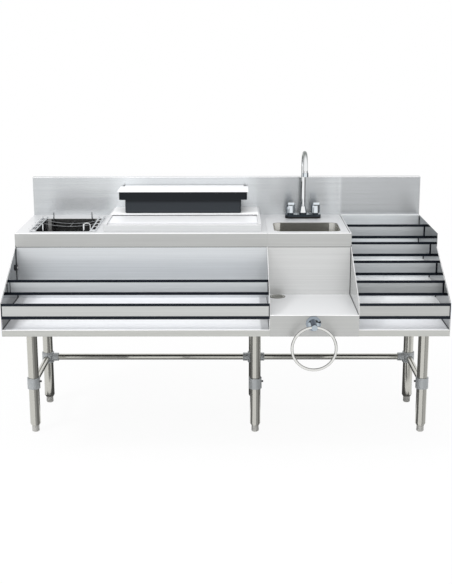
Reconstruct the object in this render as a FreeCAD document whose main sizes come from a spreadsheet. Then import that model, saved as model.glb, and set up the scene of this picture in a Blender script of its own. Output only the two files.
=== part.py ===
import FreeCAD, Part
import math
import operator
import os
import Sketcher

# Underbar cocktail station in stainless sheet: a rinse well and an ice bin on the left,
# a hand sink in the middle and a five tier bottle display on the right, on six legs.
# X runs along the front from left to right, Y runs from front to back, Z is height.
# The origin is on the floor, under the middle of the outer box.

SIZES = (
    ("total_width", 1600, "outer width, end panel to end panel"),
    ("bench_depth", 740, "front of the tray to the face of the backsplash"),
    ("gauge", 1.5, "thickness of all formed sheet"),
    ("tray_height", 508, "floor to the top of the base tray"),
    ("tray_lip", 23, "depth of the lip round the base tray"),
    ("counter_height", 800, "floor to the top of the counters"),
    ("counter_setback", 311, "front of the tray to the front of the counters"),
    ("fascia_height", 51, "depth of the fascia under the counters"),
    ("splash_height", 158, "backsplash above the counters"),
    ("splash_return", 25, "thickness of the boxed backsplash"),
    ("splash_skirt", 30, "backsplash carried down behind the counters"),
    ("sink_section", 319, "width of the sink section"),
    ("shelf_height", 563, "floor to the top of the ledge under the hand sink"),
    ("fascia_tuck", 10, "how far a front panel reaches up behind the fascia"),
    ("tier_count", 5, "bottle tiers of the display"),
    ("top_tier_drop", 114.4, "counter to the top tier of the display"),
    ("first_tier_rise", 49, "tray to the first tread of the display"),
    ("ledge_depth", 18, "ledge behind the top tier"),
    ("rail_height", 55, "bottle rail over its trims"),
    ("rail_lift", 43, "gap between a tier and its rail"),
    ("left_tier_rise", 43, "tray to the second tier of the left bay"),
    ("rear_rail_rise", 52.5, "left rear rail above the left front rail"),
    ("rail_gauge", 2, "thickness of a rail bar"),
    ("trim_height", 9, "black edge trim, seen from the front"),
    ("trim_wall", 1.2, "wall of the edge trim"),
    ("bin_to_sink", 49, "ice bin to the sink section"),
    ("bin_width", 548, "inside width of the ice bin"),
    ("bin_front", 89, "front of the counter to the ice bin"),
    ("bin_length", 312, "inside length of the ice bin, front to back"),
    ("bin_corner", 30, "corner radius of the ice bin"),
    ("foam", 15, "insulation round the ice bin"),
    ("false_bottom_lift", 25, "drip space under the false bottom"),
    ("false_bottom_gap", 4, "clearance round the false bottom"),
    ("slot_width", 6, "width of a slot in the false bottom"),
    ("slot_pitch", 29, "spacing of the slots in the false bottom"),
    ("slot_margin", 45, "edge of the false bottom to the end of a slot"),
    ("collar_height", 24, "raised frame round the ice bin"),
    ("collar_side", 27, "width of the frame beside the bin"),
    ("collar_lap", 46, "width of the frame in front of the bin"),
    ("track_width", 13, "width of a lid track"),
    ("track_height", 6, "height of a lid track"),
    ("slide_gap", 0.3, "running clearance of sliding and lift-out pieces"),
    ("lid_side_gap", 0.5, "clearance between the ice lid and its tracks"),
    ("lid_front_lap", 8, "ice lid over the front of the frame"),
    ("lid_length", 180, "ice lid, front to back"),
    ("lid_pull", 4, "height of the finger pull along the ice lid"),
    ("bridge_front", 251, "front of the counter to the fixed bridge over the bin"),
    ("bridge_gauge", 2, "thickness of the bridge"),
    ("bridge_inset", 7, "frame seen beside the bridge"),
    ("caddy_inset", 10.5, "left side of the bin to the rim of the garnish caddy"),
    ("caddy_front", 269, "front of the counter to the rim of the garnish caddy"),
    ("caddy_width", 513, "caddy over its rim"),
    ("caddy_depth", 142, "caddy over its rim, front to back"),
    ("caddy_step", 23.5, "how far the rim overhangs each end of the tub"),
    ("caddy_lip", 7, "how far the rim overhangs the front of the tub"),
    ("caddy_tub", 55, "height of the tub under the rim"),
    ("caddy_rim", 31, "height of the rim"),
    ("caddy_wall", 2.5, "wall of the caddy"),
    ("caddy_corner", 10, "corner radius of the caddy"),
    ("caddy_lid_side", 5.5, "lid beyond each end of the rim"),
    ("caddy_lid_front", 3, "lid beyond the front of the rim"),
    ("caddy_lid_gauge", 4, "thickness of the caddy lid"),
    ("hinge_inset", 12, "end of the rim to the rolled hinge of the caddy lid"),
    ("hinge_radius", 4, "radius of the rolled hinge"),
    ("hinge_pin", 2, "radius of a hinge pin"),
    ("hinge_pin_length", 7, "length of a hinge pin"),
    ("ear_width", 8, "width of a hinge ear"),
    ("ear_reach", 3, "ear round the hinge axis"),
    ("turning_gap", 0.05, "radial clearance of a turning or sliding shaft"),
    ("pan_count", 4, "garnish pans in the caddy"),
    ("pan_gap", 1, "gap between garnish pans"),
    ("pan_wall", 2, "wall of a garnish pan"),
    ("pan_height", 70, "height of a garnish pan"),
    ("well_side", 58, "left end of the unit to the rinse well"),
    ("well_to_bin", 66, "rinse well to the ice bin"),
    ("well_width", 236, "inside width of the rinse well"),
    ("well_front", 49, "front of the counter to the rinse well"),
    ("well_length", 290, "inside length of the rinse well"),
    ("well_depth", 180, "depth of the rinse well"),
    ("well_corner", 28, "corner radius of the rinse well"),
    ("sink_side", 28, "left side of the sink section to its bowl"),
    ("sink_width", 256, "inside width of the hand sink"),
    ("sink_front", 45, "front of the counter to the hand sink"),
    ("sink_length", 198, "inside length of the hand sink"),
    ("sink_depth", 180, "depth of the hand sink"),
    ("sink_corner", 30, "corner radius of the hand sink"),
    ("bowl_bend", 15, "inside radius where a bowl meets its floor"),
    ("drain_flange", 42, "radius of a drain flange"),
    ("drain_rise", 2, "thickness of a drain flange"),
    ("drain_hole", 36.5, "radius of the hole in a bowl for its drain"),
    ("drain_fit", 0.5, "clearance between a drain and its hole"),
    ("cup_radius", 32, "inside radius of a drain cup"),
    ("cup_depth", 20, "depth of a drain cup"),
    ("cup_wall", 4, "wall of a drain cup"),
    ("tail_radius", 19, "outside radius of a drain tailpiece"),
    ("tail_wall", 2, "wall of a drain tailpiece"),
    ("tail_bottom", 430, "floor to the lower end of the tailpieces"),
    ("strainer_wall", 1.2, "wall of the lift-out strainer"),
    ("strainer_fit", 0.4, "clearance round the lift-out strainer"),
    ("strainer_post", 5, "radius of the finger post of the strainer"),
    ("hanger_wire", 3.2, "radius of the hanger wires of the basket"),
    ("upright_wire", 2.8, "radius of the upright wires of the basket"),
    ("hoop_wire", 2.4, "radius of the cross wires of the basket"),
    ("floor_wire", 2, "radius of the long wires of the basket floor"),
    ("basket_half", 124, "middle of the well to an outer hanger wire"),
    ("basket_inner", 106, "middle of the well to an inner hanger wire"),
    ("basket_drop", 110, "depth of the wire basket below the counter"),
    ("basket_end_gap", 12, "basket hoops inside the ends of the well"),
    ("hanger_lap", 8, "hanger wires beyond the ends of the well"),
    ("hoop_count", 5, "hoops of the wire basket"),
    ("floor_wire_count", 3, "long wires along the floor of the basket"),
    ("basket_post", 24, "height of the corner posts of the basket"),
    ("basket_post_half", 78, "middle of the well to a corner post"),
    ("faucet_to_back", 75, "faucet spout to the face of the backsplash"),
    ("faucet_width", 146, "length of the faucet base"),
    ("faucet_depth", 50, "depth of the faucet base"),
    ("faucet_plate", 8, "height of the faucet base plate"),
    ("faucet_corner", 24, "corner radius of the faucet base"),
    ("gasket", 8, "height of the black gasket under the faucet"),
    ("boss_height", 6, "bosses on the faucet base"),
    ("boss_radius", 15, "radius of the spout boss"),
    ("valve_spread", 50.8, "spout to a valve, half of the tap hole spacing"),
    ("valve_radius", 12, "radius of a valve boss"),
    ("valve_stem", 4, "radius of a valve stem"),
    ("valve_stem_height", 12, "height of a valve stem"),
    ("spout_tube", 9, "outside radius of the spout tube"),
    ("spout_wall", 1.5, "wall of the spout tube"),
    ("spout_shaft", 8, "radius of the spout shaft"),
    ("spout_seat", 12, "depth of the spout shaft in the base"),
    ("spout_nut", 26, "height of the cone nut at the foot of the spout"),
    ("spout_nut_top", 10, "radius of the cone nut at its top"),
    ("spout_rise", 279, "top of the spout above the counter"),
    ("spout_reach", 125, "spout shaft to the outlet"),
    ("spout_drop", 8, "straight end of the spout after the bend"),
    ("aerator_radius", 11.5, "outside radius of the aerator"),
    ("aerator_bore", 7, "bore of the aerator"),
    ("aerator_height", 15, "height of the aerator"),
    ("handle_radius", 19, "radius of a faucet handle at its foot"),
    ("handle_top", 17, "radius of a faucet handle at its top"),
    ("handle_height", 33, "height of the hub of a faucet handle"),
    ("lever_length", 46, "valve stem to the tip of the lever"),
    ("lever_width", 24, "width of a lever"),
    ("lever_rise", 14, "rise of a lever towards its tip"),
    ("lever_thick", 9, "thickness of a lever"),
    ("shank_radius", 10.3, "radius of a supply shank"),
    ("shank_drop", 50, "supply shank below the counter"),
    ("shank_fit", 0.7, "clearance between a shank and its hole"),
    ("shank_nut", 17, "radius over the corners of a shank nut"),
    ("shank_nut_height", 8, "height of a shank nut"),
    ("gun_hole_left", 38.5, "left side of the sink section to the gun hole"),
    ("gun_hole_setback", 278, "front of the tray to the gun hole"),
    ("gun_hole", 24.5, "radius of the hole in the ledge"),
    ("grommet_fit", 0.3, "clearance of the grommet in its hole"),
    ("grommet_wall", 1.7, "wall of the grommet"),
    ("grommet_flange", 28, "radius of the grommet flange"),
    ("grommet_depth", 16, "depth of the grommet sleeve"),
    ("ring_height", 533, "floor to the post of the towel ring"),
    ("ring_reach", 52, "face of the ledge fascia to the towel ring"),
    ("ring_radius", 78, "radius of the towel ring to the middle of its wire"),
    ("ring_wire", 5, "radius of the towel ring wire"),
    ("ring_eye", 6.2, "radius of the eye in the post"),
    ("post_radius", 10.5, "radius of the towel ring post"),
    ("post_nose", 9, "post beyond the towel ring"),
    ("rosette_radius", 27, "radius of the towel ring rosette"),
    ("rosette_rise", 8, "height of the rosette"),
    ("rosette_edge", 2, "straight edge of the rosette"),
    ("rosette_face", 19, "radius of the flat face of the rosette"),
    ("leg_radius", 20.5, "outside radius of a leg tube"),
    ("leg_wall", 1.5, "wall of a leg tube"),
    ("leg_front", 335, "front of the tray to the front legs"),
    ("leg_back", 684, "front of the tray to the back legs"),
    ("leg_inset_left", 43, "left end to the left legs"),
    ("leg_inset_middle", 43, "middle legs to the sink section"),
    ("leg_inset_right", 32, "right end to the right legs"),
    ("leg_bottom", 34, "floor to the end of a leg tube"),
    ("leg_taper", 6, "height of the tapered end of a leg"),
    ("leg_insert", 30, "height of the foot bushing inside a leg"),
    ("leg_socket", 24.5, "outside radius of a leg socket under the tray"),
    ("leg_socket_depth", 40, "depth of a leg socket"),
    ("leg_flange", 30, "radius of the flange of a leg socket"),
    ("leg_flange_height", 3, "thickness of the flange of a leg socket"),
    ("leg_fit", 0.2, "clearance between a leg and what is round it"),
    ("foot_radius", 14.5, "radius of an adjustable foot"),
    ("foot_shank", 50, "foot inside the leg"),
    ("foot_round", 3, "rounded lower edge of a foot"),
    ("brace_height", 201, "floor to the middle of the braces"),
    ("brace_radius", 12.7, "outside radius of a brace tube"),
    ("brace_wall", 1.2, "wall of a brace tube"),
    ("collar_radius", 25, "outside radius of a brace collar"),
    ("collar_length", 44, "height of a brace collar"),
    ("branch_radius", 17, "outside radius of a branch of a brace collar"),
    ("branch_reach", 45, "leg to the end of a branch"),
    ("brace_seat", 23, "leg to the end of the brace inside its branch"),
)

doc = FreeCAD.newDocument("BarSink")
sheet = doc.addObject("Spreadsheet::Sheet", "Sizes")
part_nodes = []


class Size:
    """A length that keeps its formula on the sheet together with its present value."""

    def __init__(self, formula, value):
        self.formula = formula
        self.value = value

    def __add__(self, other):
        return joined(self, "+", other, operator.add)

    def __sub__(self, other):
        return joined(self, "-", other, operator.sub)

    def __mul__(self, other):
        return joined(self, "*", other, operator.mul)

    def __truediv__(self, other):
        return joined(self, "/", other, operator.truediv)

    def __neg__(self):
        return Size("(-1 * %s)" % self.formula, -self.value)


def size(value):
    """A plain number, such as a count or a zero, as a Size."""
    return value if isinstance(value, Size) else Size("(%s)" % value, value)


def joined(first, sign, second, operation):
    second = size(second)
    formula = "(%s %s %s)" % (first.formula, sign, second.formula)
    return Size(formula, operation(first.value, second.value))


class Dimensions:
    """Every dimension of the sheet, by its name."""


d = Dimensions()
for row, (alias, number, meaning) in enumerate(SIZES, start=1):
    sheet.set("A%d" % row, str(number))
    sheet.setAlias("A%d" % row, alias)
    sheet.set("B%d" % row, meaning)
    setattr(d, alias, Size("Sizes." + alias, number))
doc.recompute()

ZERO = size(0)
UPRIGHT = FreeCAD.Rotation()
ALONG_X = FreeCAD.Rotation(FreeCAD.Vector(0, 1, 0), 90)
ALONG_Y = FreeCAD.Rotation(FreeCAD.Vector(1, 0, 0), -90)
TOWARDS_FRONT = FreeCAD.Rotation(FreeCAD.Vector(1, 0, 0), 90)
LEFT, RIGHT = -1, 1
HEX_SIDES = 6


# ---------------------------------------------------------------- building blocks

def place(thing, at, turn=UPRIGHT):
    """Puts a piece at a place given by three Sizes."""
    thing.Placement = FreeCAD.Placement(FreeCAD.Vector(0, 0, 0), turn)
    for axis, distance in zip("xyz", at):
        thing.setExpression("Placement.Base." + axis, size(distance).formula)
    return thing


def primitive(kind, name, lengths, at, turn=UPRIGHT):
    thing = doc.addObject(kind, name)
    for field, length in lengths.items():
        thing.setExpression(field, size(length).formula)
    return place(thing, at, turn)


def box(name, lengths, at):
    """A block by its length, width and height, from its low corner."""
    return primitive("Part::Box", name, dict(zip(("Length", "Width", "Height"), lengths)), at)


def rod(name, radius, length, at, turn=UPRIGHT):
    return primitive("Part::Cylinder", name, {"Radius": radius, "Height": length}, at, turn)


def fuse(name, pieces):
    joint = doc.addObject("Part::MultiFuse", name)
    joint.Shapes = pieces
    return joint


def group(name, pieces):
    """Like pieces that stay separate solids."""
    bundle = doc.addObject("Part::Compound", name)
    bundle.Links = pieces
    return bundle


def cut(name, base, tools):
    tool = tools[0] if len(tools) == 1 else fuse(name + "_openings", tools)
    result = doc.addObject("Part::Cut", name)
    result.Base = base
    result.Tool = tool
    return result


def tube(name, radius, bore, length, at, turn=UPRIGHT):
    outside = rod(name + "_outside", radius, length, at, turn)
    inside = rod(name + "_bore", bore, length, at, turn)
    return cut(name, outside, [inside])


def sketch_on(body, plane, name):
    sketch = body.newObject("Sketcher::SketchObject", name)
    base = [feature for feature in body.Origin.OriginFeatures if feature.Role == plane][0]
    sketch.AttachmentSupport = (base, [""])
    sketch.MapMode = "FlatFace"
    return sketch


def hold_point(sketch, element, end, corner):
    """Ties one point of a sketch to its two distances from the origin."""
    for kind, distance in zip(("DistanceX", "DistanceY"), corner):
        rule = Sketcher.Constraint(kind, -1, 1, element, end, distance.value)
        number = sketch.addConstraint(rule)
        sketch.setExpression("Constraints[%d]" % number, distance.formula)


def outline(sketch, corners):
    """Closed outline of straight runs through the corners."""
    corners = [(size(across), size(up)) for across, up in corners]
    points = [FreeCAD.Vector(across.value, up.value, 0) for across, up in corners]
    first = sketch.GeometryCount
    count = len(points)
    for index in range(count):
        sketch.addGeometry(Part.LineSegment(points[index], points[(index + 1) % count]), False)
    for index in range(count):
        before = first + (index - 1) % count
        sketch.addConstraint(Sketcher.Constraint("Coincident", before, 2, first + index, 1))
    for index, corner in enumerate(corners):
        hold_point(sketch, first + index, 1, corner)


def padded(name, plane, corners, length, at, reverse=False):
    """A formed section pushed along its length."""
    body = doc.addObject("PartDesign::Body", name)
    sketch = sketch_on(body, plane, name + "_outline")
    outline(sketch, corners)
    pad = body.newObject("PartDesign::Pad", name + "_pad")
    pad.Profile = sketch
    pad.setExpression("Length", size(length).formula)
    pad.Reversed = reverse
    return place(body, at)


def turned(name, corners, at, turn=UPRIGHT):
    """A piece turned on a lathe: corners are radius and height."""
    body = doc.addObject("PartDesign::Body", name)
    sketch = sketch_on(body, "XZ_Plane", name + "_outline")
    outline(sketch, corners)
    lathe = body.newObject("PartDesign::Revolution", name + "_turning")
    lathe.Profile = sketch
    lathe.ReferenceAxis = (sketch, ["V_Axis"])
    lathe.Angle = 360
    return place(body, at, turn)


def upright_edges(shape):
    found = []
    for number, edge in enumerate(shape.Edges, start=1):
        ends = [vertex.Point for vertex in edge.Vertexes]
        if len(ends) == 2 and math.hypot(ends[0].x - ends[1].x, ends[0].y - ends[1].y) < 1e-6:
            found.append("Edge%d" % number)
    return found


def floor_edges(shape):
    lowest = shape.BoundBox.ZMin
    found = []
    for number, edge in enumerate(shape.Edges, start=1):
        if edge.BoundBox.ZMax < lowest + 1e-6:
            found.append("Edge%d" % number)
    return found


def round_edges(body, feature, name, radius, choose):
    doc.recompute()
    fillet = body.newObject("PartDesign::Fillet", name)
    fillet.Base = (feature, choose(feature.Shape))
    fillet.setExpression("Radius", radius.formula)
    return fillet


def rounded_block(name, lengths, corner, at, bend=None):
    """A block with rounded upright corners and, for a pressed bowl, a rounded floor."""
    length, width, height = [size(value) for value in lengths]
    body = doc.addObject("PartDesign::Body", name)
    sketch = sketch_on(body, "XY_Plane", name + "_outline")
    outline(sketch, [(ZERO, ZERO), (length, ZERO), (length, width), (ZERO, width)])
    pad = body.newObject("PartDesign::Pad", name + "_pad")
    pad.Profile = sketch
    pad.setExpression("Length", height.formula)
    rounded = round_edges(body, pad, name + "_corners", corner, upright_edges)
    if bend is not None:
        round_edges(body, rounded, name + "_bend", bend, floor_edges)
    return place(body, at)


def node(piece):
    """Marks a finished sub-part: its label names the file that it is written to."""
    piece.Label = piece.Name
    part_nodes.append(piece)
    return piece


# ---------------------------------------------------------------- places shared by the pieces

front = (d.splash_return * LEFT - d.bench_depth + d.ring_reach + d.post_nose + d.gauge) / 2
half_width = d.total_width / 2
left_end = -half_width
inner_left = left_end + d.gauge
inner_right = half_width - d.gauge
inner_width = d.total_width - d.gauge * 2
back = front + d.bench_depth
inner_back = back - d.gauge
counter_front = front + d.counter_setback
counter_under = d.counter_height - d.gauge
fascia_bottom = d.counter_height - d.fascia_height
tray_under = d.tray_height - d.gauge
tray_bottom = d.tray_height - d.tray_lip
tier_depth = d.bench_depth / d.tier_count
tread_span = d.counter_height - d.tray_height - d.top_tier_drop - d.first_tier_rise
tier_rise = tread_span / (d.tier_count - 2)
rail_top = d.tray_height + d.rail_lift + d.rail_height
panel_top = fascia_bottom + d.fascia_tuck

well_left = left_end + d.well_side
well_center = well_left + d.well_width / 2
well_near = counter_front + d.well_front
well_floor = d.counter_height - d.well_depth
bin_left = well_left + d.well_width + d.well_to_bin
bin_center = bin_left + d.bin_width / 2
bin_near = counter_front + d.bin_front
bin_floor = d.tray_height + d.foam + d.gauge
sink_left = bin_left + d.bin_width + d.bin_to_sink
sink_right = sink_left + d.sink_section
sink_inner_left = sink_left + d.gauge
sink_inner_right = sink_right - d.gauge
sink_inner_width = sink_inner_right - sink_inner_left
display_width = inner_right - sink_right
bowl_left = sink_left + d.sink_side
sink_center = bowl_left + d.sink_width / 2
bowl_near = counter_front + d.sink_front
bowl_floor = d.counter_height - d.sink_depth
faucet_y = back - d.faucet_to_back

drains = (
    ("rinse", well_center, well_near + d.well_length / 2, well_floor),
    ("ice", bin_center, bin_near + d.bin_length / 2, bin_floor),
    ("sink", sink_center, bowl_near + d.sink_length / 2, bowl_floor),
)
leg_columns = (
    ("left", left_end + d.leg_inset_left),
    ("middle", sink_left - d.leg_inset_middle),
    ("right", half_width - d.leg_inset_right),
)
leg_places = tuple(
    (side + "_" + end, across, front + along)
    for end, along in (("front", d.leg_front), ("back", d.leg_back))
    for side, across in leg_columns
)


# ---------------------------------------------------------------- base tray, panels and ledge

def base_tray():
    """Full width pan with a lip all round, pierced for the tailpieces."""
    block = box("tray_block", (d.total_width, d.bench_depth, d.tray_lip), (left_end, front, tray_bottom))
    hollow = box("tray_hollow", (inner_width, d.bench_depth - d.gauge * 2, d.tray_lip - d.gauge),
                 (inner_left, front + d.gauge, tray_bottom))
    holes = []
    for name, across, along, floor in drains:
        holes.append(rod("tray_hole_" + name, d.drain_hole, d.tray_lip, (across, along, tray_bottom)))
    node(cut("base_tray", block, [hollow] + holes))


def side_panel(name, across, top_behind, depth):
    """Upright panel with a slanted front edge below the counter."""
    corners = [
        (ZERO, ZERO),
        (ZERO, rail_top - d.tray_height),
        (d.counter_setback, fascia_bottom - d.tray_height),
        (d.counter_setback, top_behind - d.tray_height),
        (depth, top_behind - d.tray_height),
        (depth, ZERO),
    ]
    if top_behind is fascia_bottom:
        del corners[3]
    node(padded(name, "YZ_Plane", corners, d.gauge, (across, front, d.tray_height)))


def front_panels():
    panel_y = counter_front + d.gauge
    node(box("ice_front_panel", (sink_left - inner_left, d.gauge, panel_top - d.tray_height),
             (inner_left, panel_y, d.tray_height)))
    node(box("sink_front_panel", (sink_inner_width, d.gauge, panel_top - d.shelf_height),
             (sink_inner_left, panel_y, d.shelf_height)))
    node(box("rear_panel", (inner_width, d.gauge, counter_under - d.tray_height),
             (inner_left, inner_back, d.tray_height)))


def centre_ledge():
    """Ledge under the hand sink with a deep fascia, and the ring that lines its hole."""
    ledge_depth = d.counter_setback + d.gauge * 3
    corners = [
        (ZERO, ZERO),
        (ledge_depth, ZERO),
        (ledge_depth, -d.gauge),
        (d.gauge, -d.gauge),
        (d.gauge, tray_bottom - d.shelf_height),
        (ZERO, tray_bottom - d.shelf_height),
    ]
    ledge = padded("ledge_sheet", "YZ_Plane", corners, sink_inner_width,
                   (sink_inner_left, front - d.gauge, d.shelf_height))
    hole_place = (sink_left + d.gun_hole_left, front + d.gun_hole_setback)
    hole = rod("ledge_hole", d.gun_hole, d.gauge * 2, hole_place + (d.shelf_height - d.gauge * 2,))
    node(cut("centre_ledge", ledge, [hole]))

    sleeve = d.gun_hole - d.grommet_fit
    bore = sleeve - d.grommet_wall
    node(turned("gun_hole_grommet", [
        (bore, d.gauge),
        (d.grommet_flange, d.gauge),
        (d.grommet_flange, ZERO),
        (sleeve, ZERO),
        (sleeve, -d.grommet_depth),
        (bore, -d.grommet_depth),
    ], hole_place + (d.shelf_height,)))


def backsplash():
    """Boxed upstand, open underneath and lapped over the back of the counters."""
    height = d.splash_height + d.splash_skirt
    bottom = d.counter_height - d.splash_skirt
    block = box("splash_block", (d.total_width, d.splash_return, height), (left_end, back, bottom))
    hollow = box("splash_hollow", (inner_width, d.splash_return - d.gauge * 2, height - d.gauge),
                 (inner_left, back + d.gauge, bottom))
    node(cut("backsplash", block, [hollow]))


# ---------------------------------------------------------------- counters

def counter(name, left, right, open_side, openings):
    """Flat counter with a fascia in front and on its free side."""
    block = box(name + "_block", (right - left, d.bench_depth - d.counter_setback, d.fascia_height),
                (left, counter_front, fascia_bottom))
    inside_left = left + d.gauge if open_side == LEFT else left
    inside_right = right - d.gauge if open_side == RIGHT else right
    hollow = box(name + "_hollow",
                 (inside_right - inside_left, d.bench_depth - d.counter_setback, d.fascia_height - d.gauge),
                 (inside_left, counter_front + d.gauge, fascia_bottom))
    node(cut(name, block, [hollow] + openings))


def opening(name, width, length, corner, left, near):
    return rounded_block(name, (width, length, d.fascia_height), corner, (left, near, fascia_bottom))


def counters():
    well_mouth = opening("well_mouth", d.well_width, d.well_length, d.well_corner, well_left, well_near)
    bin_mouth = opening("bin_mouth", d.bin_width, d.bin_length, d.bin_corner, bin_left, bin_near)
    counter("ice_counter", left_end, sink_left, LEFT, [well_mouth, bin_mouth])

    sink_mouth = opening("sink_mouth", d.sink_width, d.sink_length, d.sink_corner, bowl_left, bowl_near)
    tap_holes = []
    for side, hand in (("left", LEFT), ("right", RIGHT)):
        tap_holes.append(rod("tap_hole_" + side, d.shank_radius + d.shank_fit, d.fascia_height,
                             (sink_center + d.valve_spread * hand, faucet_y, fascia_bottom)))
    notch = box("sink_counter_notch", (d.gauge, d.gauge, d.fascia_height - d.gauge),
                (sink_inner_right, inner_back, fascia_bottom))
    counter("sink_counter", sink_left, sink_right, RIGHT, [sink_mouth, notch] + tap_holes)


# ---------------------------------------------------------------- bowls and drains

def bowl(name, width, length, corner, left, near, floor):
    """Pressed bowl welded under the counter, with a hole for its drain."""
    depth = counter_under - floor
    outside = rounded_block(name + "_outside", (width + d.gauge * 2, length + d.gauge * 2, depth + d.gauge),
                            corner + d.gauge, (left - d.gauge, near - d.gauge, floor - d.gauge),
                            d.bowl_bend + d.gauge)
    inside = rounded_block(name + "_inside", (width, length, depth + d.gauge), corner,
                           (left, near, floor), d.bowl_bend)
    hole = rod(name + "_hole", d.drain_hole, d.gauge * 3,
               (left + width / 2, near + length / 2, floor - d.gauge * 2))
    node(cut(name, outside, [inside, hole]))


def bowls():
    bowl("rinse_well", d.well_width, d.well_length, d.well_corner, well_left, well_near, well_floor)
    bowl("ice_liner", d.bin_width, d.bin_length, d.bin_corner, bin_left, bin_near, bin_floor)
    bowl("hand_sink", d.sink_width, d.sink_length, d.sink_corner, bowl_left, bowl_near, bowl_floor)


def drain_fittings():
    """Flanged cup and tailpiece in the floor of each bowl."""
    neck = d.drain_hole - d.drain_fit
    tail_bore = d.tail_radius - d.tail_wall
    fittings = []
    for name, across, along, floor in drains:
        tail = d.tail_bottom - floor
        fittings.append(turned("drain_" + name, [
            (neck, ZERO),
            (d.drain_flange, ZERO),
            (d.drain_flange, d.drain_rise),
            (d.cup_radius, d.drain_rise),
            (d.cup_radius, -d.cup_depth),
            (tail_bore, -d.cup_depth),
            (tail_bore, tail),
            (d.tail_radius, tail),
            (d.tail_radius, -(d.cup_depth + d.tail_wall)),
            (neck, -(d.cup_depth + d.tail_wall)),
        ], (across, along, floor)))
    node(group("drain_fittings", fittings))


def sink_strainer():
    """Cup strainer with a knob, which lifts out of the drain of the hand sink."""
    radius = d.cup_radius - d.strainer_fit
    low = d.strainer_fit - d.cup_depth
    floor = low + d.strainer_wall
    name, across, along, drop = drains[2]
    node(turned("sink_strainer", [
        (ZERO, low),
        (radius, low),
        (radius, d.drain_rise),
        (radius - d.strainer_wall, d.drain_rise),
        (radius - d.strainer_wall, floor),
        (d.strainer_post, floor),
        (d.strainer_post, ZERO),
        (ZERO, ZERO),
    ], (across, along, drop)))


def ice_insulation():
    """Foam jacket round the ice bin, standing on the base tray."""
    height = counter_under - bin_floor + d.gauge
    skin = d.gauge + d.foam
    jacket = box("foam_block", (d.bin_width + skin * 2, d.bin_length + skin * 2, height + d.foam),
                 (bin_left - skin, bin_near - skin, d.tray_height))
    space = box("foam_space", (d.bin_width + d.gauge * 2, d.bin_length + d.gauge * 2, height),
                (bin_left - d.gauge, bin_near - d.gauge, d.tray_height + d.foam))
    name, across, along, floor = drains[1]
    neck = rod("foam_hole", d.drain_hole, d.foam, (across, along, d.tray_height))
    node(cut("ice_insulation", jacket, [space, neck]))


def false_bottom():
    """Slotted plate that keeps the ice out of the melt water, on two folded feet."""
    gap = d.false_bottom_gap
    width = d.bin_width - gap * 2
    length = d.bin_length - gap * 2
    left = bin_left + gap
    near = bin_near + gap
    under = bin_floor + d.false_bottom_lift
    plate = rounded_block("false_bottom_plate", (width, length, d.gauge), d.bin_corner, (left, near, under))
    pieces = [plate]
    for side, inset in (("left", d.bin_corner), ("right", width - d.bin_corner - d.gauge)):
        pieces.append(box("false_bottom_foot_" + side,
                          (d.gauge, length - d.bin_corner * 2, d.false_bottom_lift),
                          (left + inset, near + d.bin_corner, bin_floor)))
    spread = width - d.bin_corner * 4
    count = int(spread.value // d.slot_pitch.value) + 1
    first = left + (width - d.slot_pitch * (count - 1) - d.slot_width) / 2
    slots = []
    for number in range(count):
        slots.append(box("false_bottom_slot_%d" % (number + 1),
                         (d.slot_width, length - d.slot_margin * 2, d.gauge),
                         (first + d.slot_pitch * number, near + d.slot_margin, under)))
    node(cut("ice_false_bottom", fuse("false_bottom_solid", pieces), slots))


# ---------------------------------------------------------------- ice bin frame, lid and bridge

collar_left = bin_left - d.collar_side
collar_width = d.bin_width + d.collar_side * 2
collar_near = bin_near - d.collar_lap
collar_depth = back - collar_near
collar_top = d.counter_height + d.collar_height
track_top = collar_top + d.track_height
bridge_top = track_top + d.bridge_gauge


def ice_collar():
    """Raised hollow frame round the ice bin, with a lid track along each side."""
    block = box("collar_block", (collar_width, collar_depth, d.collar_height),
                (collar_left, collar_near, d.counter_height))
    mouth = rounded_block("collar_mouth", (d.bin_width, d.bin_length, d.collar_height), d.bin_corner,
                          (bin_left, bin_near, d.counter_height))
    hollow_height = d.collar_height - d.gauge
    hollow = box("collar_hollow", (collar_width - d.gauge * 2, collar_depth - d.gauge * 2, hollow_height),
                 (collar_left + d.gauge, collar_near + d.gauge, d.counter_height))
    core_size = (d.bin_width + d.gauge * 2, d.bin_length + d.gauge * 2, hollow_height)
    core = rounded_block("collar_core", core_size,
                         d.bin_corner + d.gauge, (bin_left - d.gauge, bin_near - d.gauge, d.counter_height))
    channel = cut("collar_channel", hollow, [core])
    frame = cut("collar_frame", block, [mouth, channel])
    tracks = []
    for side, left in (("left", collar_left), ("right", collar_left + collar_width - d.track_width)):
        tracks.append(box("lid_track_" + side, (d.track_width, collar_depth, d.track_height),
                          (left, collar_near, collar_top)))
    node(fuse("ice_bin_frame", [frame] + tracks))


def ice_lid():
    """Lid that slides back between the tracks and under the bridge."""
    width = collar_width - (d.track_width + d.lid_side_gap) * 2
    corners = [
        (ZERO, ZERO),
        (d.lid_length, ZERO),
        (d.lid_length, d.gauge),
        (d.gauge, d.gauge),
        (d.gauge, d.gauge + d.lid_pull),
        (ZERO, d.gauge + d.lid_pull),
    ]
    node(padded("ice_lid", "YZ_Plane", corners, width,
                (bin_center - width / 2, bin_near - d.lid_front_lap, collar_top + d.slide_gap)))


def ice_bridge():
    """Fixed platform on the tracks, over the back of the bin."""
    near = counter_front + d.bridge_front
    node(box("ice_bridge", (collar_width - d.bridge_inset * 2, back - near, d.bridge_gauge),
             (collar_left + d.bridge_inset, near, track_top)))


# ---------------------------------------------------------------- garnish caddy

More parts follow.
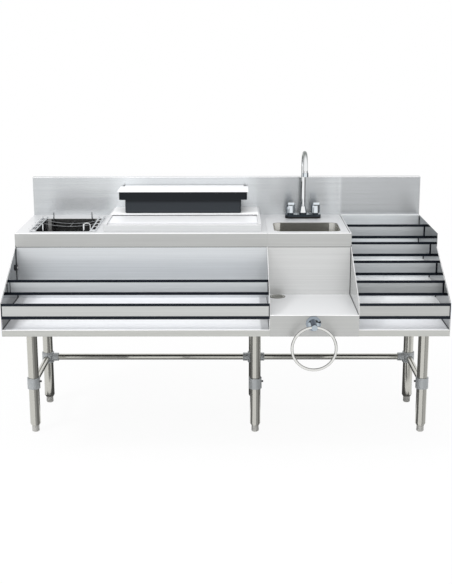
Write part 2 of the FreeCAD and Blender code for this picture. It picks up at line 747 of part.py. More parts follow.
caddy_left = bin_left + d.caddy_inset
caddy_center = caddy_left + d.caddy_width / 2
caddy_near = counter_front + d.caddy_front
rim_bottom = bridge_top + d.caddy_tub
rim_top = rim_bottom + d.caddy_rim
hinge_length = d.caddy_width - d.hinge_inset * 2
hinge_y = caddy_near + d.caddy_depth + d.pan_gap + d.hinge_radius
hinge_z = rim_top + d.slide_gap + d.caddy_lid_gauge / 2
tub_left = caddy_left + d.caddy_step
tub_near = caddy_near + d.caddy_lip
tub_width = d.caddy_width - d.caddy_step * 2
tub_depth = d.caddy_depth - d.caddy_lip * 2


def garnish_caddy():
    """Black tub with a wider rim, two hinge ears at the back and a pin on each ear."""
    wall = d.caddy_wall
    tub = rounded_block("caddy_tub_outside", (tub_width, tub_depth, d.caddy_tub), d.caddy_corner,
                        (tub_left, tub_near, bridge_top), d.caddy_corner / 2)
    rim = rounded_block("caddy_rim_outside", (d.caddy_width, d.caddy_depth, d.caddy_rim), d.caddy_corner,
                        (caddy_left, caddy_near, rim_bottom))
    tub_space = rounded_block("caddy_tub_inside", (tub_width - wall * 2, tub_depth - wall * 2,
                                                   d.caddy_tub + d.caddy_rim - wall),
                              d.caddy_corner - wall, (tub_left + wall, tub_near + wall, bridge_top + wall))
    rim_space = rounded_block("caddy_rim_inside", (d.caddy_width - wall * 2, d.caddy_depth - wall * 2,
                                                   d.caddy_rim - wall),
                              d.caddy_corner - wall,
                              (caddy_left + wall, caddy_near + wall, rim_bottom + wall))
    hollow = cut("caddy_hollow", fuse("caddy_solid", [tub, rim]), [tub_space, rim_space])
    hinge_parts = [hollow]
    ear_offset = hinge_length / 2 + d.slide_gap
    ear_foot = hinge_z - d.caddy_rim / 2
    for side, hand in (("left", LEFT), ("right", RIGHT)):
        face = caddy_center + ear_offset * hand
        ear_left = face - d.ear_width if hand == LEFT else face
        pin_left = face if hand == LEFT else face - d.hinge_pin_length
        ear_near = caddy_near + d.caddy_depth
        ear_size = (d.ear_width, hinge_y + d.ear_reach - ear_near, d.caddy_rim / 2 + d.ear_reach)
        hinge_parts.append(box("hinge_ear_" + side, ear_size, (ear_left, ear_near, ear_foot)))
        hinge_parts.append(rod("hinge_pin_" + side, d.hinge_pin, d.hinge_pin_length,
                               (pin_left, hinge_y, hinge_z), ALONG_X))
    node(fuse("garnish_caddy", hinge_parts))


def caddy_lid():
    """Flat lid with a rolled hinge along its back edge."""
    width = d.caddy_width + d.caddy_lid_side * 2
    bottom = rim_top + d.slide_gap
    near = caddy_near - d.caddy_lid_front
    reach = caddy_near + d.caddy_depth - near - d.pan_gap
    plate = box("caddy_lid_plate", (width, reach, d.caddy_lid_gauge),
                (caddy_center - width / 2, near, bottom))
    tongue = box("caddy_lid_tongue", (hinge_length, hinge_y - near, d.caddy_lid_gauge),
                 (caddy_center - hinge_length / 2, near, bottom))
    roll_place = (caddy_center - hinge_length / 2, hinge_y, hinge_z)
    roll = rod("caddy_lid_roll", d.hinge_radius, hinge_length, roll_place, ALONG_X)
    bore = rod("caddy_lid_bore", d.hinge_pin + d.turning_gap, hinge_length, roll_place, ALONG_X)
    node(cut("caddy_lid", fuse("caddy_lid_solid", [plate, tongue, roll]), [bore]))


def garnish_pans():
    """Open pans side by side on the floor of the caddy."""
    inside = tub_width - d.caddy_wall * 2
    count = d.pan_count.value
    pitch = (inside - d.pan_gap) / d.pan_count
    width = pitch - d.pan_gap
    depth = tub_depth - (d.caddy_wall + d.pan_gap) * 2
    corner = d.caddy_corner - d.caddy_wall
    pans = []
    for number in range(count):
        left = tub_left + d.caddy_wall + d.pan_gap + pitch * number
        near = tub_near + d.caddy_wall + d.pan_gap
        floor = bridge_top + d.caddy_wall
        name = "garnish_pan_%d" % (number + 1)
        outside = rounded_block(name + "_outside", (width, depth, d.pan_height), corner, (left, near, floor))
        inside_size = (width - d.pan_wall * 2, depth - d.pan_wall * 2, d.pan_height)
        inner = rounded_block(name + "_inside", inside_size, corner - d.pan_wall,
                              (left + d.pan_wall, near + d.pan_wall, floor + d.pan_wall))
        pans.append(cut(name, outside, [inner]))
    node(group("garnish_pans", pans))


# ---------------------------------------------------------------- wire basket of the rinse well

def wire_basket():
    """Wire cradle that hangs in the rinse well from a pair of wires on each side."""
    hang = d.counter_height + d.slide_gap + d.hanger_wire
    low = d.counter_height - d.basket_drop
    hoop_near = well_near + d.basket_end_gap
    hoop_pitch = (d.well_length - d.basket_end_gap * 2) / (d.hoop_count - 1)
    hanger_near = well_near - d.hanger_lap
    hanger_length = d.well_length + d.hanger_lap * 2
    half = d.basket_inner
    wires = []
    for side, hand in (("left", LEFT), ("right", RIGHT)):
        for pair, offset in (("outer", d.basket_half), ("inner", half)):
            wires.append(rod("hanger_%s_%s" % (pair, side), d.hanger_wire, hanger_length,
                             (well_center + offset * hand, hanger_near, hang), ALONG_Y))
        start = well_center - d.basket_half if hand == LEFT else well_center + half
        for end, along in (("front", d.hanger_lap / 2), ("back", hanger_length - d.hanger_lap / 2)):
            wires.append(rod("hanger_end_%s_%s" % (end, side), d.hoop_wire, d.basket_half - half,
                             (start, hanger_near + along, hang), ALONG_X))
    for number in range(d.hoop_count.value):
        along = hoop_near + hoop_pitch * number
        wires.append(rod("hoop_floor_%d" % number, d.hoop_wire, half * 2,
                         (well_center - half, along, low), ALONG_X))
        for side, hand in (("left", LEFT), ("right", RIGHT)):
            wires.append(rod("hoop_%s_%d" % (side, number), d.upright_wire, hang - low + d.hoop_wire,
                             (well_center + half * hand, along, low - d.hoop_wire)))
    for number in range(d.floor_wire_count.value):
        across = well_center - half + half * 2 / (d.floor_wire_count + 1) * (number + 1)
        wires.append(rod("floor_wire_%d" % number, d.floor_wire, d.well_length - d.basket_end_gap * 2,
                         (across, hoop_near, low), ALONG_Y))
    far_hoop = hoop_near + hoop_pitch * (d.hoop_count - 1)
    for side, hand in (("left", LEFT), ("right", RIGHT)):
        for end, along in (("front", hoop_near), ("back", far_hoop)):
            wires.append(rod("post_%s_%s" % (end, side), d.upright_wire, hang + d.basket_post - low,
                             (well_center + d.basket_post_half * hand, along, low)))
    node(fuse("wire_basket", wires))


# ---------------------------------------------------------------- bottle display and rails

def tier_top(number):
    """Height of a tier of the display above the floor; the tray is tier 0."""
    if number == 0:
        return d.tray_height
    return d.tray_height + d.first_tier_rise + tier_rise * (number - 1)


def folded_tread(name, left, width, along, depth, top, riser):
    """A tread folded down at the front into its riser."""
    corners = [
        (ZERO, ZERO),
        (depth, ZERO),
        (depth, -d.gauge),
        (d.gauge, -d.gauge),
        (d.gauge, -riser),
        (ZERO, -riser),
    ]
    node(padded(name, "YZ_Plane", corners, width, (left, along, top)))


def left_tread():
    """Second tier of the left bay, from its rail back to the panel under the counter."""
    folded_tread("left_tread", inner_left, sink_left - inner_left, front + tier_depth,
                 d.counter_setback + d.gauge - tier_depth, d.tray_height + d.left_tier_rise,
                 d.left_tier_rise)


def step_treads():
    """Four folded treads climbing to the back, each with its riser in front."""
    for number in range(1, d.tier_count.value):
        depth = tier_depth + d.gauge
        if number == d.tier_count.value - 1:
            depth = tier_depth - d.ledge_depth + d.gauge
        folded_tread("step_tread_%d" % number, sink_right, display_width, front + tier_depth * number,
                     depth, tier_top(number), tier_top(number) - tier_top(number - 1))


def step_back_wall():
    """Wall behind the top tier, folded back at the top into a narrow ledge."""
    height = d.counter_height - tier_top(d.tier_count.value - 1)
    ledge = d.ledge_depth - d.gauge
    corners = [
        (ZERO, -height),
        (ZERO, ZERO),
        (ledge + d.gauge, ZERO),
        (ledge + d.gauge, -d.gauge),
        (d.gauge, -d.gauge),
        (d.gauge, -height),
    ]
    node(padded("step_back_wall", "YZ_Plane", corners, display_width,
                (sink_right, back - d.ledge_depth, d.counter_height)))


def rail(name, left, width, along, lift):
    """Flat bar between two panels, and the black trim on its upper and lower edge."""
    bottom = lift + d.rail_lift
    bar_height = d.rail_height - d.trim_wall * 2
    node(box(name, (width, d.rail_gauge, bar_height), (left, along, bottom + d.trim_wall)))
    trims = []
    for edge, way, at in (("lower", RIGHT, bottom), ("upper", LEFT, bottom + d.rail_height)):
        wall = d.trim_wall
        corners = [
            (-wall, ZERO),
            (d.rail_gauge + wall, ZERO),
            (d.rail_gauge + wall, d.trim_height * way),
            (d.rail_gauge, d.trim_height * way),
            (d.rail_gauge, wall * way),
            (ZERO, wall * way),
            (ZERO, d.trim_height * way),
            (-wall, d.trim_height * way),
        ]
        trims.append(padded("%s_%s_trim" % (name, edge), "YZ_Plane", corners, width, (left, along, at)))
    return trims


def rails():
    trims = []
    for name, along, lift in (("front", front, d.tray_height),
                              ("rear", front + tier_depth, d.tray_height + d.rear_rail_rise)):
        trims += rail("left_rail_" + name, inner_left, sink_left - inner_left, along, lift)
    for number in range(d.tier_count.value):
        trims += rail("step_rail_%d" % (number + 1), sink_right, display_width,
                      front + tier_depth * number, tier_top(number))
    node(group("rail_trims", trims))


# ---------------------------------------------------------------- faucet

def faucet_base():
    """Deck plate with a spout boss and two valve bosses with their stems, on a black gasket."""
    deck = d.counter_height
    plate_bottom = deck + d.gasket
    plate_top = plate_bottom + d.faucet_plate
    left = sink_center - d.faucet_width / 2
    near = faucet_y - d.faucet_depth / 2
    outer = rounded_block("gasket_block", (d.faucet_width, d.faucet_depth, d.gasket), d.faucet_corner,
                          (left, near, deck))
    holes = []
    parts = [rounded_block("faucet_plate_block", (d.faucet_width, d.faucet_depth, d.faucet_plate),
                           d.faucet_corner, (left, near, plate_bottom))]
    parts.append(rod("spout_boss", d.boss_radius, d.boss_height, (sink_center, faucet_y, plate_top)))
    for side, hand in (("left", LEFT), ("right", RIGHT)):
        across = sink_center + d.valve_spread * hand
        holes.append(rod("gasket_hole_" + side, d.shank_radius + d.shank_fit, d.gasket,
                         (across, faucet_y, deck)))
        parts.append(rod("valve_boss_" + side, d.valve_radius, d.boss_height, (across, faucet_y, plate_top)))
        parts.append(rod("valve_stem_" + side, d.valve_stem, d.boss_height + d.valve_stem_height,
                         (across, faucet_y, plate_top)))
    node(cut("faucet_gasket", outer, holes))
    socket = rod("spout_socket", d.spout_shaft + d.turning_gap, d.spout_seat + d.slide_gap,
                 (sink_center, faucet_y, plate_top + d.boss_height - d.spout_seat - d.slide_gap))
    node(cut("faucet_base", fuse("faucet_base_solid", parts), [socket]))


def pipe_path(sketch, rise, reach, drop):
    """Straight up, over in a half turn towards the front, and a short way down."""
    up = Part.LineSegment(FreeCAD.Vector(0, 0, 0), FreeCAD.Vector(0, rise.value, 0))
    centre = FreeCAD.Vector(-reach.value / 2, rise.value, 0)
    over = Part.ArcOfCircle(Part.Circle(centre, FreeCAD.Vector(0, 0, 1), reach.value / 2), 0, math.pi)
    low = rise.value - drop.value
    down = Part.LineSegment(FreeCAD.Vector(-reach.value, rise.value, 0),
                            FreeCAD.Vector(-reach.value, low, 0))
    sketch.addGeometry([up, over, down], False)
    sketch.addConstraint(Sketcher.Constraint("Coincident", 0, 2, 1, 1))
    sketch.addConstraint(Sketcher.Constraint("Coincident", 1, 2, 2, 1))
    hold_point(sketch, 0, 1, (ZERO, ZERO))
    hold_point(sketch, 0, 2, (ZERO, rise))
    hold_point(sketch, 2, 1, (-reach, rise))
    hold_point(sketch, 2, 2, (-reach, rise - drop))
    centre_height = sketch.addConstraint(Sketcher.Constraint("DistanceY", -1, 1, 1, 3, rise.value))
    sketch.setExpression("Constraints[%d]" % centre_height, rise.formula)


def circle_on(body, plane, name, radius):
    sketch = sketch_on(body, plane, name)
    sketch.addGeometry(Part.Circle(FreeCAD.Vector(0, 0, 0), FreeCAD.Vector(0, 0, 1), radius.value), False)
    sketch.addConstraint(Sketcher.Constraint("Coincident", 0, 3, -1, 1))
    number = sketch.addConstraint(Sketcher.Constraint("Radius", 0, radius.value))
    sketch.setExpression("Constraints[%d]" % number, radius.formula)
    return sketch


def faucet_spout():
    """Swivelling gooseneck with a cone nut at its foot, and the aerator at its outlet."""
    seat = d.counter_height + d.gasket + d.faucet_plate + d.boss_height + d.slide_gap
    rise = d.counter_height + d.spout_rise - d.spout_tube - d.spout_reach / 2 - seat
    body = doc.addObject("PartDesign::Body", "faucet_spout")
    foot = sketch_on(body, "XZ_Plane", "spout_foot_outline")
    outline(foot, [
        (ZERO, -d.spout_seat),
        (d.spout_shaft, -d.spout_seat),
        (d.spout_shaft, ZERO),
        (d.boss_radius, ZERO),
        (d.spout_nut_top, d.spout_nut),
        (ZERO, d.spout_nut),
    ])
    nut = body.newObject("PartDesign::Revolution", "spout_foot")
    nut.Profile = foot
    nut.ReferenceAxis = (foot, ["V_Axis"])
    nut.Angle = 360
    path = sketch_on(body, "YZ_Plane", "spout_path")
    pipe_path(path, rise, d.spout_reach, d.spout_drop)
    outside = circle_on(body, "XY_Plane", "spout_section", d.spout_tube)
    doc.recompute()
    neck = body.newObject("PartDesign::AdditivePipe", "spout_neck")
    neck.Profile = outside
    neck.Spine = (path, [])
    doc.recompute()
    inside = circle_on(body, "XY_Plane", "spout_bore_section", d.spout_tube - d.spout_wall)
    doc.recompute()
    bore = body.newObject("PartDesign::SubtractivePipe", "spout_bore")
    bore.Profile = inside
    bore.Spine = (path, [])
    doc.recompute()
    if bore.Shape.Volume >= neck.Shape.Volume:
        raise ValueError("the bore of the spout cuts nothing")
    node(place(body, (sink_center, faucet_y, seat)))

    outlet = (sink_center, faucet_y - d.spout_reach, seat + rise - d.spout_drop)
    node(turned("aerator", [
        (d.aerator_bore, ZERO),
        (d.aerator_radius, ZERO),
        (d.aerator_radius, -d.aerator_height),
        (d.aerator_bore, -d.aerator_height),
    ], outlet))


def faucet_handles():
    """Quarter turn levers on the two valve stems, pointing forwards when closed."""
    seat = d.counter_height + d.gasket + d.faucet_plate + d.boss_height + d.slide_gap
    bore = d.valve_stem + d.turning_gap
    depth = d.valve_stem_height + d.turning_gap * 2
    for side, hand in (("left", LEFT), ("right", RIGHT)):
        across = sink_center + d.valve_spread * hand
        hub = turned("handle_hub_" + side, [
            (bore, ZERO),
            (d.handle_radius, ZERO),
            (d.handle_top, d.handle_height),
            (ZERO, d.handle_height),
            (ZERO, depth),
            (bore, depth),
        ], (across, faucet_y, seat))
        root = d.handle_height - d.lever_thick
        blade = padded("handle_lever_" + side, "YZ_Plane", [
            (-d.lever_length, root + d.lever_rise),
            (-d.lever_length, root + d.lever_rise + d.lever_thick),
            (ZERO, d.handle_height),
            (ZERO, root),
        ], d.lever_width, (across - d.lever_width / 2, faucet_y, seat))
        node(fuse("faucet_handle_" + side, [hub, blade]))


def faucet_shanks():
    """Threaded supply shanks through the counter, each with its lock nut."""
    top = d.counter_height + d.gasket
    shanks = []
    for side, hand in (("left", LEFT), ("right", RIGHT)):
        across = sink_center + d.valve_spread * hand
        shank = rod("shank_" + side, d.shank_radius, d.shank_drop + d.gasket,
                    (across, faucet_y, top - d.shank_drop - d.gasket))
        nut = doc.addObject("Part::Prism", "shank_nut_" + side)
        nut.Polygon = HEX_SIDES
        nut.setExpression("Circumradius", d.shank_nut.formula)
        nut.setExpression("Height", d.shank_nut_height.formula)
        place(nut, (across, faucet_y, counter_under - d.shank_nut_height))
        shanks.append(fuse("supply_shank_" + side, [shank, nut]))
    node(group("faucet_shanks", shanks))


# ---------------------------------------------------------------- towel ring

def towel_ring():
    """Rosette and post screwed to the ledge fascia, and the ring that hangs in the post."""
    face = front - d.gauge
    length = d.ring_reach + d.post_nose
    mount = turned("towel_post_solid", [
        (ZERO, ZERO),
        (d.rosette_radius, ZERO),
        (d.rosette_radius, d.rosette_edge),
        (d.rosette_face, d.rosette_rise),
        (d.post_radius, d.rosette_rise),
        (d.post_radius, length),
        (ZERO, length),
    ], (sink_center, face, d.ring_height), TOWARDS_FRONT)
    eye = rod("towel_post_eye", d.ring_eye, d.post_radius * 4,
              (sink_center - d.post_radius * 2, face - d.ring_reach, d.ring_height), ALONG_X)
    node(cut("towel_ring_post", mount, [eye]))
    ring = primitive("Part::Torus", "towel_ring", {"Radius1": d.ring_radius, "Radius2": d.ring_wire},
                     (sink_center, face - d.ring_reach, d.ring_height - d.ring_radius), ALONG_Y)
    node(ring)


# ---------------------------------------------------------------- legs, feet and braces

def legs():
    """Leg tubes with a tapered bushing in the lower end, and the sockets that hold them."""
    length = tray_under - d.leg_bottom
    inside = d.leg_radius - d.leg_wall
    foot_bore = d.foot_radius + d.turning_gap
    sleeve = d.leg_radius + d.leg_fit
    tubes = []
    sockets = []
    for name, across, along in leg_places:
        shaft = tube("leg_tube_" + name, d.leg_radius, inside, length, (across, along, d.leg_bottom))
        bushing = turned("leg_bushing_" + name, [
            (foot_bore, -d.leg_taper),
            (d.leg_radius - d.leg_taper / 2, -d.leg_taper),
            (d.leg_radius, ZERO),
            (inside, ZERO),
            (inside, d.leg_insert),
            (foot_bore, d.leg_insert),
        ], (across, along, d.leg_bottom))
        tubes.append(fuse("leg_" + name, [shaft, bushing]))
        sockets.append(turned("leg_socket_" + name, [
            (sleeve, ZERO),
            (d.leg_flange, ZERO),
            (d.leg_flange, -d.leg_flange_height),
            (d.leg_socket, -d.leg_flange_height),
            (d.leg_socket, -d.leg_socket_depth),
            (sleeve, -d.leg_socket_depth),
        ], (across, along, tray_under)))
    node(group("legs", tubes))
    node(group("leg_sockets", sockets))


def feet():
    """Adjustable feet that screw out of the legs."""
    top = d.leg_bottom - d.leg_taper + d.foot_shank
    for name, across, along in leg_places:
        node(turned("foot_" + name, [
            (ZERO, ZERO),
            (d.foot_radius - d.foot_round, ZERO),
            (d.foot_radius, d.foot_round),
            (d.foot_radius, top),
            (ZERO, top),
        ], (across, along, ZERO)))


def brace_collars():
    """Cast collars on the legs, with a branch for each brace that ends there."""
    collars = []
    branch_bore = d.brace_radius + d.leg_fit
    for name, across, along in leg_places:
        centre = (across, along, d.brace_height)
        branches = []
        if name.endswith("front"):
            branches.append(("back", ALONG_Y, centre))
        else:
            branches.append(("front", TOWARDS_FRONT, centre))
            if not name.startswith("right"):
                branches.append(("right", ALONG_X, centre))
            if not name.startswith("left"):
                start = (across - d.branch_reach, along, d.brace_height)
                branches.append(("left", ALONG_X, start))
        solids = [rod("collar_ring_" + name, d.collar_radius, d.collar_length,
                      (across, along, d.brace_height - d.collar_length / 2))]
        bores = [rod("collar_bore_" + name, d.leg_radius + d.leg_fit, d.collar_length,
                     (across, along, d.brace_height - d.collar_length / 2))]
        for way, turn, start in branches:
            branch_name = "%s_%s" % (name, way)
            solids.append(rod("branch_" + branch_name, d.branch_radius, d.branch_reach, start, turn))
            bores.append(rod("branch_bore_" + branch_name, branch_bore, d.branch_reach, start, turn))
        collars.append(cut("brace_collar_" + name, fuse("collar_solid_" + name, solids), bores))
    node(group("brace_collars", collars))


def braces():
    """Two tubes along the back legs, and a tube from front to back at each pair of legs."""
    bore = d.brace_radius - d.brace_wall
    back_y = front + d.leg_back
    tubes = []
    for (name, start), (_, end) in zip(leg_columns, leg_columns[1:]):
        tubes.append(tube("back_brace_" + name, d.brace_radius, bore, end - start - d.brace_seat * 2,
                          (start + d.brace_seat, back_y, d.brace_height), ALONG_X))
    for name, across in leg_columns:
        tubes.append(tube("side_brace_" + name, d.brace_radius, bore,
                          d.leg_back - d.leg_front - d.brace_seat * 2,
                          (across, front + d.leg_front + d.brace_seat, d.brace_height), ALONG_Y))
    node(group("braces", tubes))


# ---------------------------------------------------------------- the whole unit

base_tray()
side_panel("left_side_panel", left_end, fascia_bottom, d.bench_depth)
side_panel("right_side_panel", inner_right, d.counter_height, d.bench_depth)
side_panel("sink_left_panel", sink_left, fascia_bottom, d.bench_depth - d.gauge)
side_panel("step_inner_panel", sink_inner_right, fascia_bottom, d.bench_depth - d.gauge)
front_panels()
centre_ledge()
backsplash()
counters()
bowls()
drain_fittings()
sink_strainer()
ice_insulation()
false_bottom()
ice_collar()
ice_lid()
ice_bridge()
garnish_caddy()
caddy_lid()
garnish_pans()
wire_basket()
left_tread()
step_treads()
step_back_wall()
rails()
faucet_base()
faucet_spout()
faucet_handles()
faucet_shanks()
towel_ring()
legs()
feet()
brace_collars()
braces()
doc.recompute()

for thing in doc.Objects:
    if "Invalid" in thing.State or "Error" in thing.State:
        raise RuntimeError("%s did not build: %s" % (thing.Name, thing.State))
for piece in part_nodes:
    if piece.Shape.isNull() or not piece.Shape.isValid():
        raise RuntimeError("%s has no sound shape" % piece.Name)

os.makedirs("parts", exist_ok=True)
for piece in part_nodes:
    piece.Shape.exportStep("parts/%s.step" % piece.Label)
print("%d nodes" % len(part_nodes))
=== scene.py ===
import math

import bpy
from mathutils import Matrix, Vector


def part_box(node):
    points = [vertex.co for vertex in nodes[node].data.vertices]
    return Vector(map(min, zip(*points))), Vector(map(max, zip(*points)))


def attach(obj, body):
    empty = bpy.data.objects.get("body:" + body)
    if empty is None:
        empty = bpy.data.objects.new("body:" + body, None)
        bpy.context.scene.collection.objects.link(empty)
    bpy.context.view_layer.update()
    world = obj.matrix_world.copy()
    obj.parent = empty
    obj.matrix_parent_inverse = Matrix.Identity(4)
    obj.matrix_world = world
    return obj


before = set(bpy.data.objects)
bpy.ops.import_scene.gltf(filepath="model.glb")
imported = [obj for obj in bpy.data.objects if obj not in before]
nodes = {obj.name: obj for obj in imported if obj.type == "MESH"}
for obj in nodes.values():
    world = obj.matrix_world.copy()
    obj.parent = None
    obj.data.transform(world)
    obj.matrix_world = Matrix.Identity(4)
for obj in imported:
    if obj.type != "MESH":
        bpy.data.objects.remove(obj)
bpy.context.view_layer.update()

# ------------------------------------------------------------ tray, end panels and body panels
# Bent from 1.5 mm stainless sheet with the brush marks running along the unit, tack welded from
# behind. The end panels keep the mirror finish of the coil and show the bottle rails in it.

GRAIN_ALONG = (2.0, 300.0, 300.0)
MARK_SCALE, MARK_DETAIL = 1.0, 2.0
MARK_LOW, MARK_HIGH = 0.3, 0.7
BRUSHED_METAL, BRUSH_SPREAD, BRUSH_STRETCH = 0.85, 0.04, 0.6
ALMOST_UPRIGHT = (0.0, 0.001, 1.0)
QUARTER_TURN = 0.25
FACES_UP_FROM, FACES_UP_TO = 0.4, 0.8
FIRST_COLOUR, SECOND_COLOUR, MIXED_COLOUR = 6, 7, 2


def plain(name, colour, metallic, roughness, specular=0.5):
    """A smooth finish of one colour."""
    material = bpy.data.materials.new(name)
    material.use_nodes = True
    surface = material.node_tree.nodes["Principled BSDF"]
    surface.inputs["Base Color"].default_value = (*colour, 1.0)
    surface.inputs["Metallic"].default_value = metallic
    surface.inputs["Roughness"].default_value = roughness
    surface.inputs["Specular IOR Level"].default_value = specular
    return material


def coordinate(tree, source, output, axis):
    """One coordinate of a place, or of the way that a face looks."""
    origin = tree.nodes.new(source)
    split = tree.nodes.new("ShaderNodeSeparateXYZ")
    tree.links.new(origin.outputs[output], split.inputs["Vector"])
    return split.outputs[axis]


def climb(tree, value, start, end, low=0.0, high=1.0):
    """Goes evenly from low to high while the value goes from start to end."""
    slope = tree.nodes.new("ShaderNodeMapRange")
    for socket, number in zip(("From Min", "From Max", "To Min", "To Max"), (start, end, low, high)):
        slope.inputs[socket].default_value = number
    tree.links.new(value, slope.inputs["Value"])
    return slope.outputs["Result"]


def mix(tree, share, first, second, way="MIX"):
    """Mixes two colours. Each of the three values is an output, or else a constant."""
    mixed = tree.nodes.new("ShaderNodeMix")
    mixed.data_type = "RGBA"
    mixed.blend_type = way
    sockets = (mixed.inputs["Factor"], mixed.inputs[FIRST_COLOUR], mixed.inputs[SECOND_COLOUR])
    for socket, value in zip(sockets, (share, first, second)):
        if isinstance(value, bpy.types.NodeSocket):
            tree.links.new(value, socket)
        else:
            socket.default_value = (*value, 1.0) if isinstance(value, tuple) else value
    return mixed.outputs[MIXED_COLOUR]


def level_marks(material):
    """Turns the brush marks level on every face, whichever way the face looks."""
    tree = material.node_tree
    face = tree.nodes.new("ShaderNodeNewGeometry")
    across = tree.nodes.new("ShaderNodeVectorMath")
    across.operation = "CROSS_PRODUCT"
    across.inputs[1].default_value = ALMOST_UPRIGHT
    tree.links.new(face.outputs["Normal"], across.inputs[0])
    surface = tree.nodes["Principled BSDF"]
    tree.links.new(across.outputs["Vector"], surface.inputs["Tangent"])
    surface.inputs["Anisotropic Rotation"].default_value = QUARTER_TURN


def painted_light_bands(tree, bands):
    """Painted light and shade that changes along the unit. bands: (x in metres, brightness)."""
    low, high = bands[0][0], bands[-1][0]
    along = climb(tree, coordinate(tree, "ShaderNodeTexCoord", "Object", "X"), low, high)
    ramp = tree.nodes.new("ShaderNodeValToRGB")
    ramp.color_ramp.interpolation = "EASE"
    stops = ramp.color_ramp.elements
    while len(stops) < len(bands):
        stops.new(0.5)
    for stop, (x, level) in zip(stops, bands):
        stop.position = (x - low) / (high - low)
        stop.color = (level, level, level, 1.0)
    tree.links.new(along, ramp.inputs["Fac"])
    return ramp.outputs["Color"]


def brushed(name, colour, roughness, metallic=BRUSHED_METAL, grain=GRAIN_ALONG, spread=BRUSH_SPREAD,
            stretch=BRUSH_STRETCH, bands=()):
    """Brushed metal. bands: (x in metres, brightness) along the unit, painted light and shade."""
    material = plain(name, colour, metallic, roughness)
    tree = material.node_tree
    surface = tree.nodes["Principled BSDF"]
    place = tree.nodes.new("ShaderNodeTexCoord")
    squeeze = tree.nodes.new("ShaderNodeMapping")
    squeeze.inputs["Scale"].default_value = grain
    marks = tree.nodes.new("ShaderNodeTexNoise")
    marks.inputs["Scale"].default_value = MARK_SCALE
    marks.inputs["Detail"].default_value = MARK_DETAIL
    tree.links.new(place.outputs["Object"], squeeze.inputs["Vector"])
    tree.links.new(squeeze.outputs["Vector"], marks.inputs["Vector"])
    tone = climb(tree, marks.outputs["Fac"], MARK_LOW, MARK_HIGH, 1.0 - spread, 1.0 + spread)
    if bands:
        both = tree.nodes.new("ShaderNodeMath")
        both.operation = "MULTIPLY"
        tree.links.new(tone, both.inputs[0])
        tree.links.new(painted_light_bands(tree, bands), both.inputs[1])
        tone = both.outputs["Value"]
    tree.links.new(mix(tree, 1.0, colour, tone, "MULTIPLY"), surface.inputs["Base Color"])
    if stretch:
        surface.inputs["Anisotropic"].default_value = stretch
        level_marks(material)
    return material


def painted_top_light(name, top_colour, side_colour, roughness, top_metallic, side_metallic, top_bands=()):
    """Folded sheet with painted light: its top is smooth and painted lighter, its upright faces keep the
    mill brushing.
    """
    material = brushed(name, side_colour, roughness)
    tree = material.node_tree
    surface = tree.nodes["Principled BSDF"]
    side = surface.inputs["Base Color"].links[0].from_socket
    top = mix(tree, 1.0, top_colour, painted_light_bands(tree, top_bands), "MULTIPLY") if top_bands else top_colour
    up = coordinate(tree, "ShaderNodeNewGeometry", "Normal", "Z")
    level = climb(tree, up, FACES_UP_FROM, FACES_UP_TO)
    tree.links.new(mix(tree, level, side, top), surface.inputs["Base Color"])
    tree.links.new(climb(tree, level, 0.0, 1.0, side_metallic, top_metallic), surface.inputs["Metallic"])
    return material


SHEET_BEND, BEND_STEPS = 0.0006, 2
SAME_POINT, SHARP_ANGLE = 1e-5, 40


def dress(names, material, bend=0.0):
    """Gives CAD pieces their finish, and rounds their sharp edges by that radius in metres."""
    for name in names:
        piece = nodes[name]
        piece.data.materials.clear()
        piece.data.materials.append(material)
        if bend:
            weld = piece.modifiers.new("weld", "WELD")
            weld.merge_threshold = SAME_POINT
            rounding = piece.modifiers.new("rounding", "BEVEL")
            rounding.width = bend
            rounding.segments = BEND_STEPS
            rounding.limit_method = "ANGLE"
            rounding.angle_limit = math.radians(SHARP_ANGLE)


STRIP_SIDES = 8


def strips(name, lines, half, material, body="bench"):
    """Thin round strips in one piece that rides on a body. lines: pairs of end points in metres."""
    points, faces = [], []
    for start, end in lines:
        start, end = Vector(start), Vector(end)
        along = (end - start).normalized()
        side = along.orthogonal().normalized()
        rise = side.cross(along)
        first = len(points)
        for middle in (start, end):
            for step in range(STRIP_SIDES):
                turn = math.tau * step / STRIP_SIDES
                points.append(middle + (side * math.cos(turn) + rise * math.sin(turn)) * half)
        near = [first + k for k in range(STRIP_SIDES)]
        far = [k + STRIP_SIDES for k in near]
        for k in range(STRIP_SIDES):
            after = (k + 1) % STRIP_SIDES
            faces.append([near[k], far[k], far[after], near[after]])
        faces.append(near)
        faces.append(list(reversed(far)))
    mesh = bpy.data.meshes.new(name)
    mesh.from_pydata([tuple(point) for point in points], [], faces)
    mesh.update()
    mesh.materials.append(material)
    piece = bpy.data.objects.new(name, mesh)
    bpy.context.scene.collection.objects.link(piece)
    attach(piece, body)


def chain(points):
    """The lines that join these points in turn."""
    return list(zip(points, points[1:]))


def level_line(start_x, end_x, y, z):
    """A level line along the unit."""
    return (start_x, y, z), (end_x, y, z)


TRAY_STEEL, LIP_STEEL = (0.86, 0.87, 0.90), (0.54, 0.545, 0.52)
BORDER, BORDER_FADE = 0.033, 0.003
PANEL_SHADE, BRIGHT, EVEN = 0.66, 1.0, 0.93
tray_low, tray_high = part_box("base_tray")
left_low, left_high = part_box("left_side_panel")
right_low, right_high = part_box("right_side_panel")
divider_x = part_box("sink_left_panel")[0].x
inner_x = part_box("step_inner_panel")[0].x
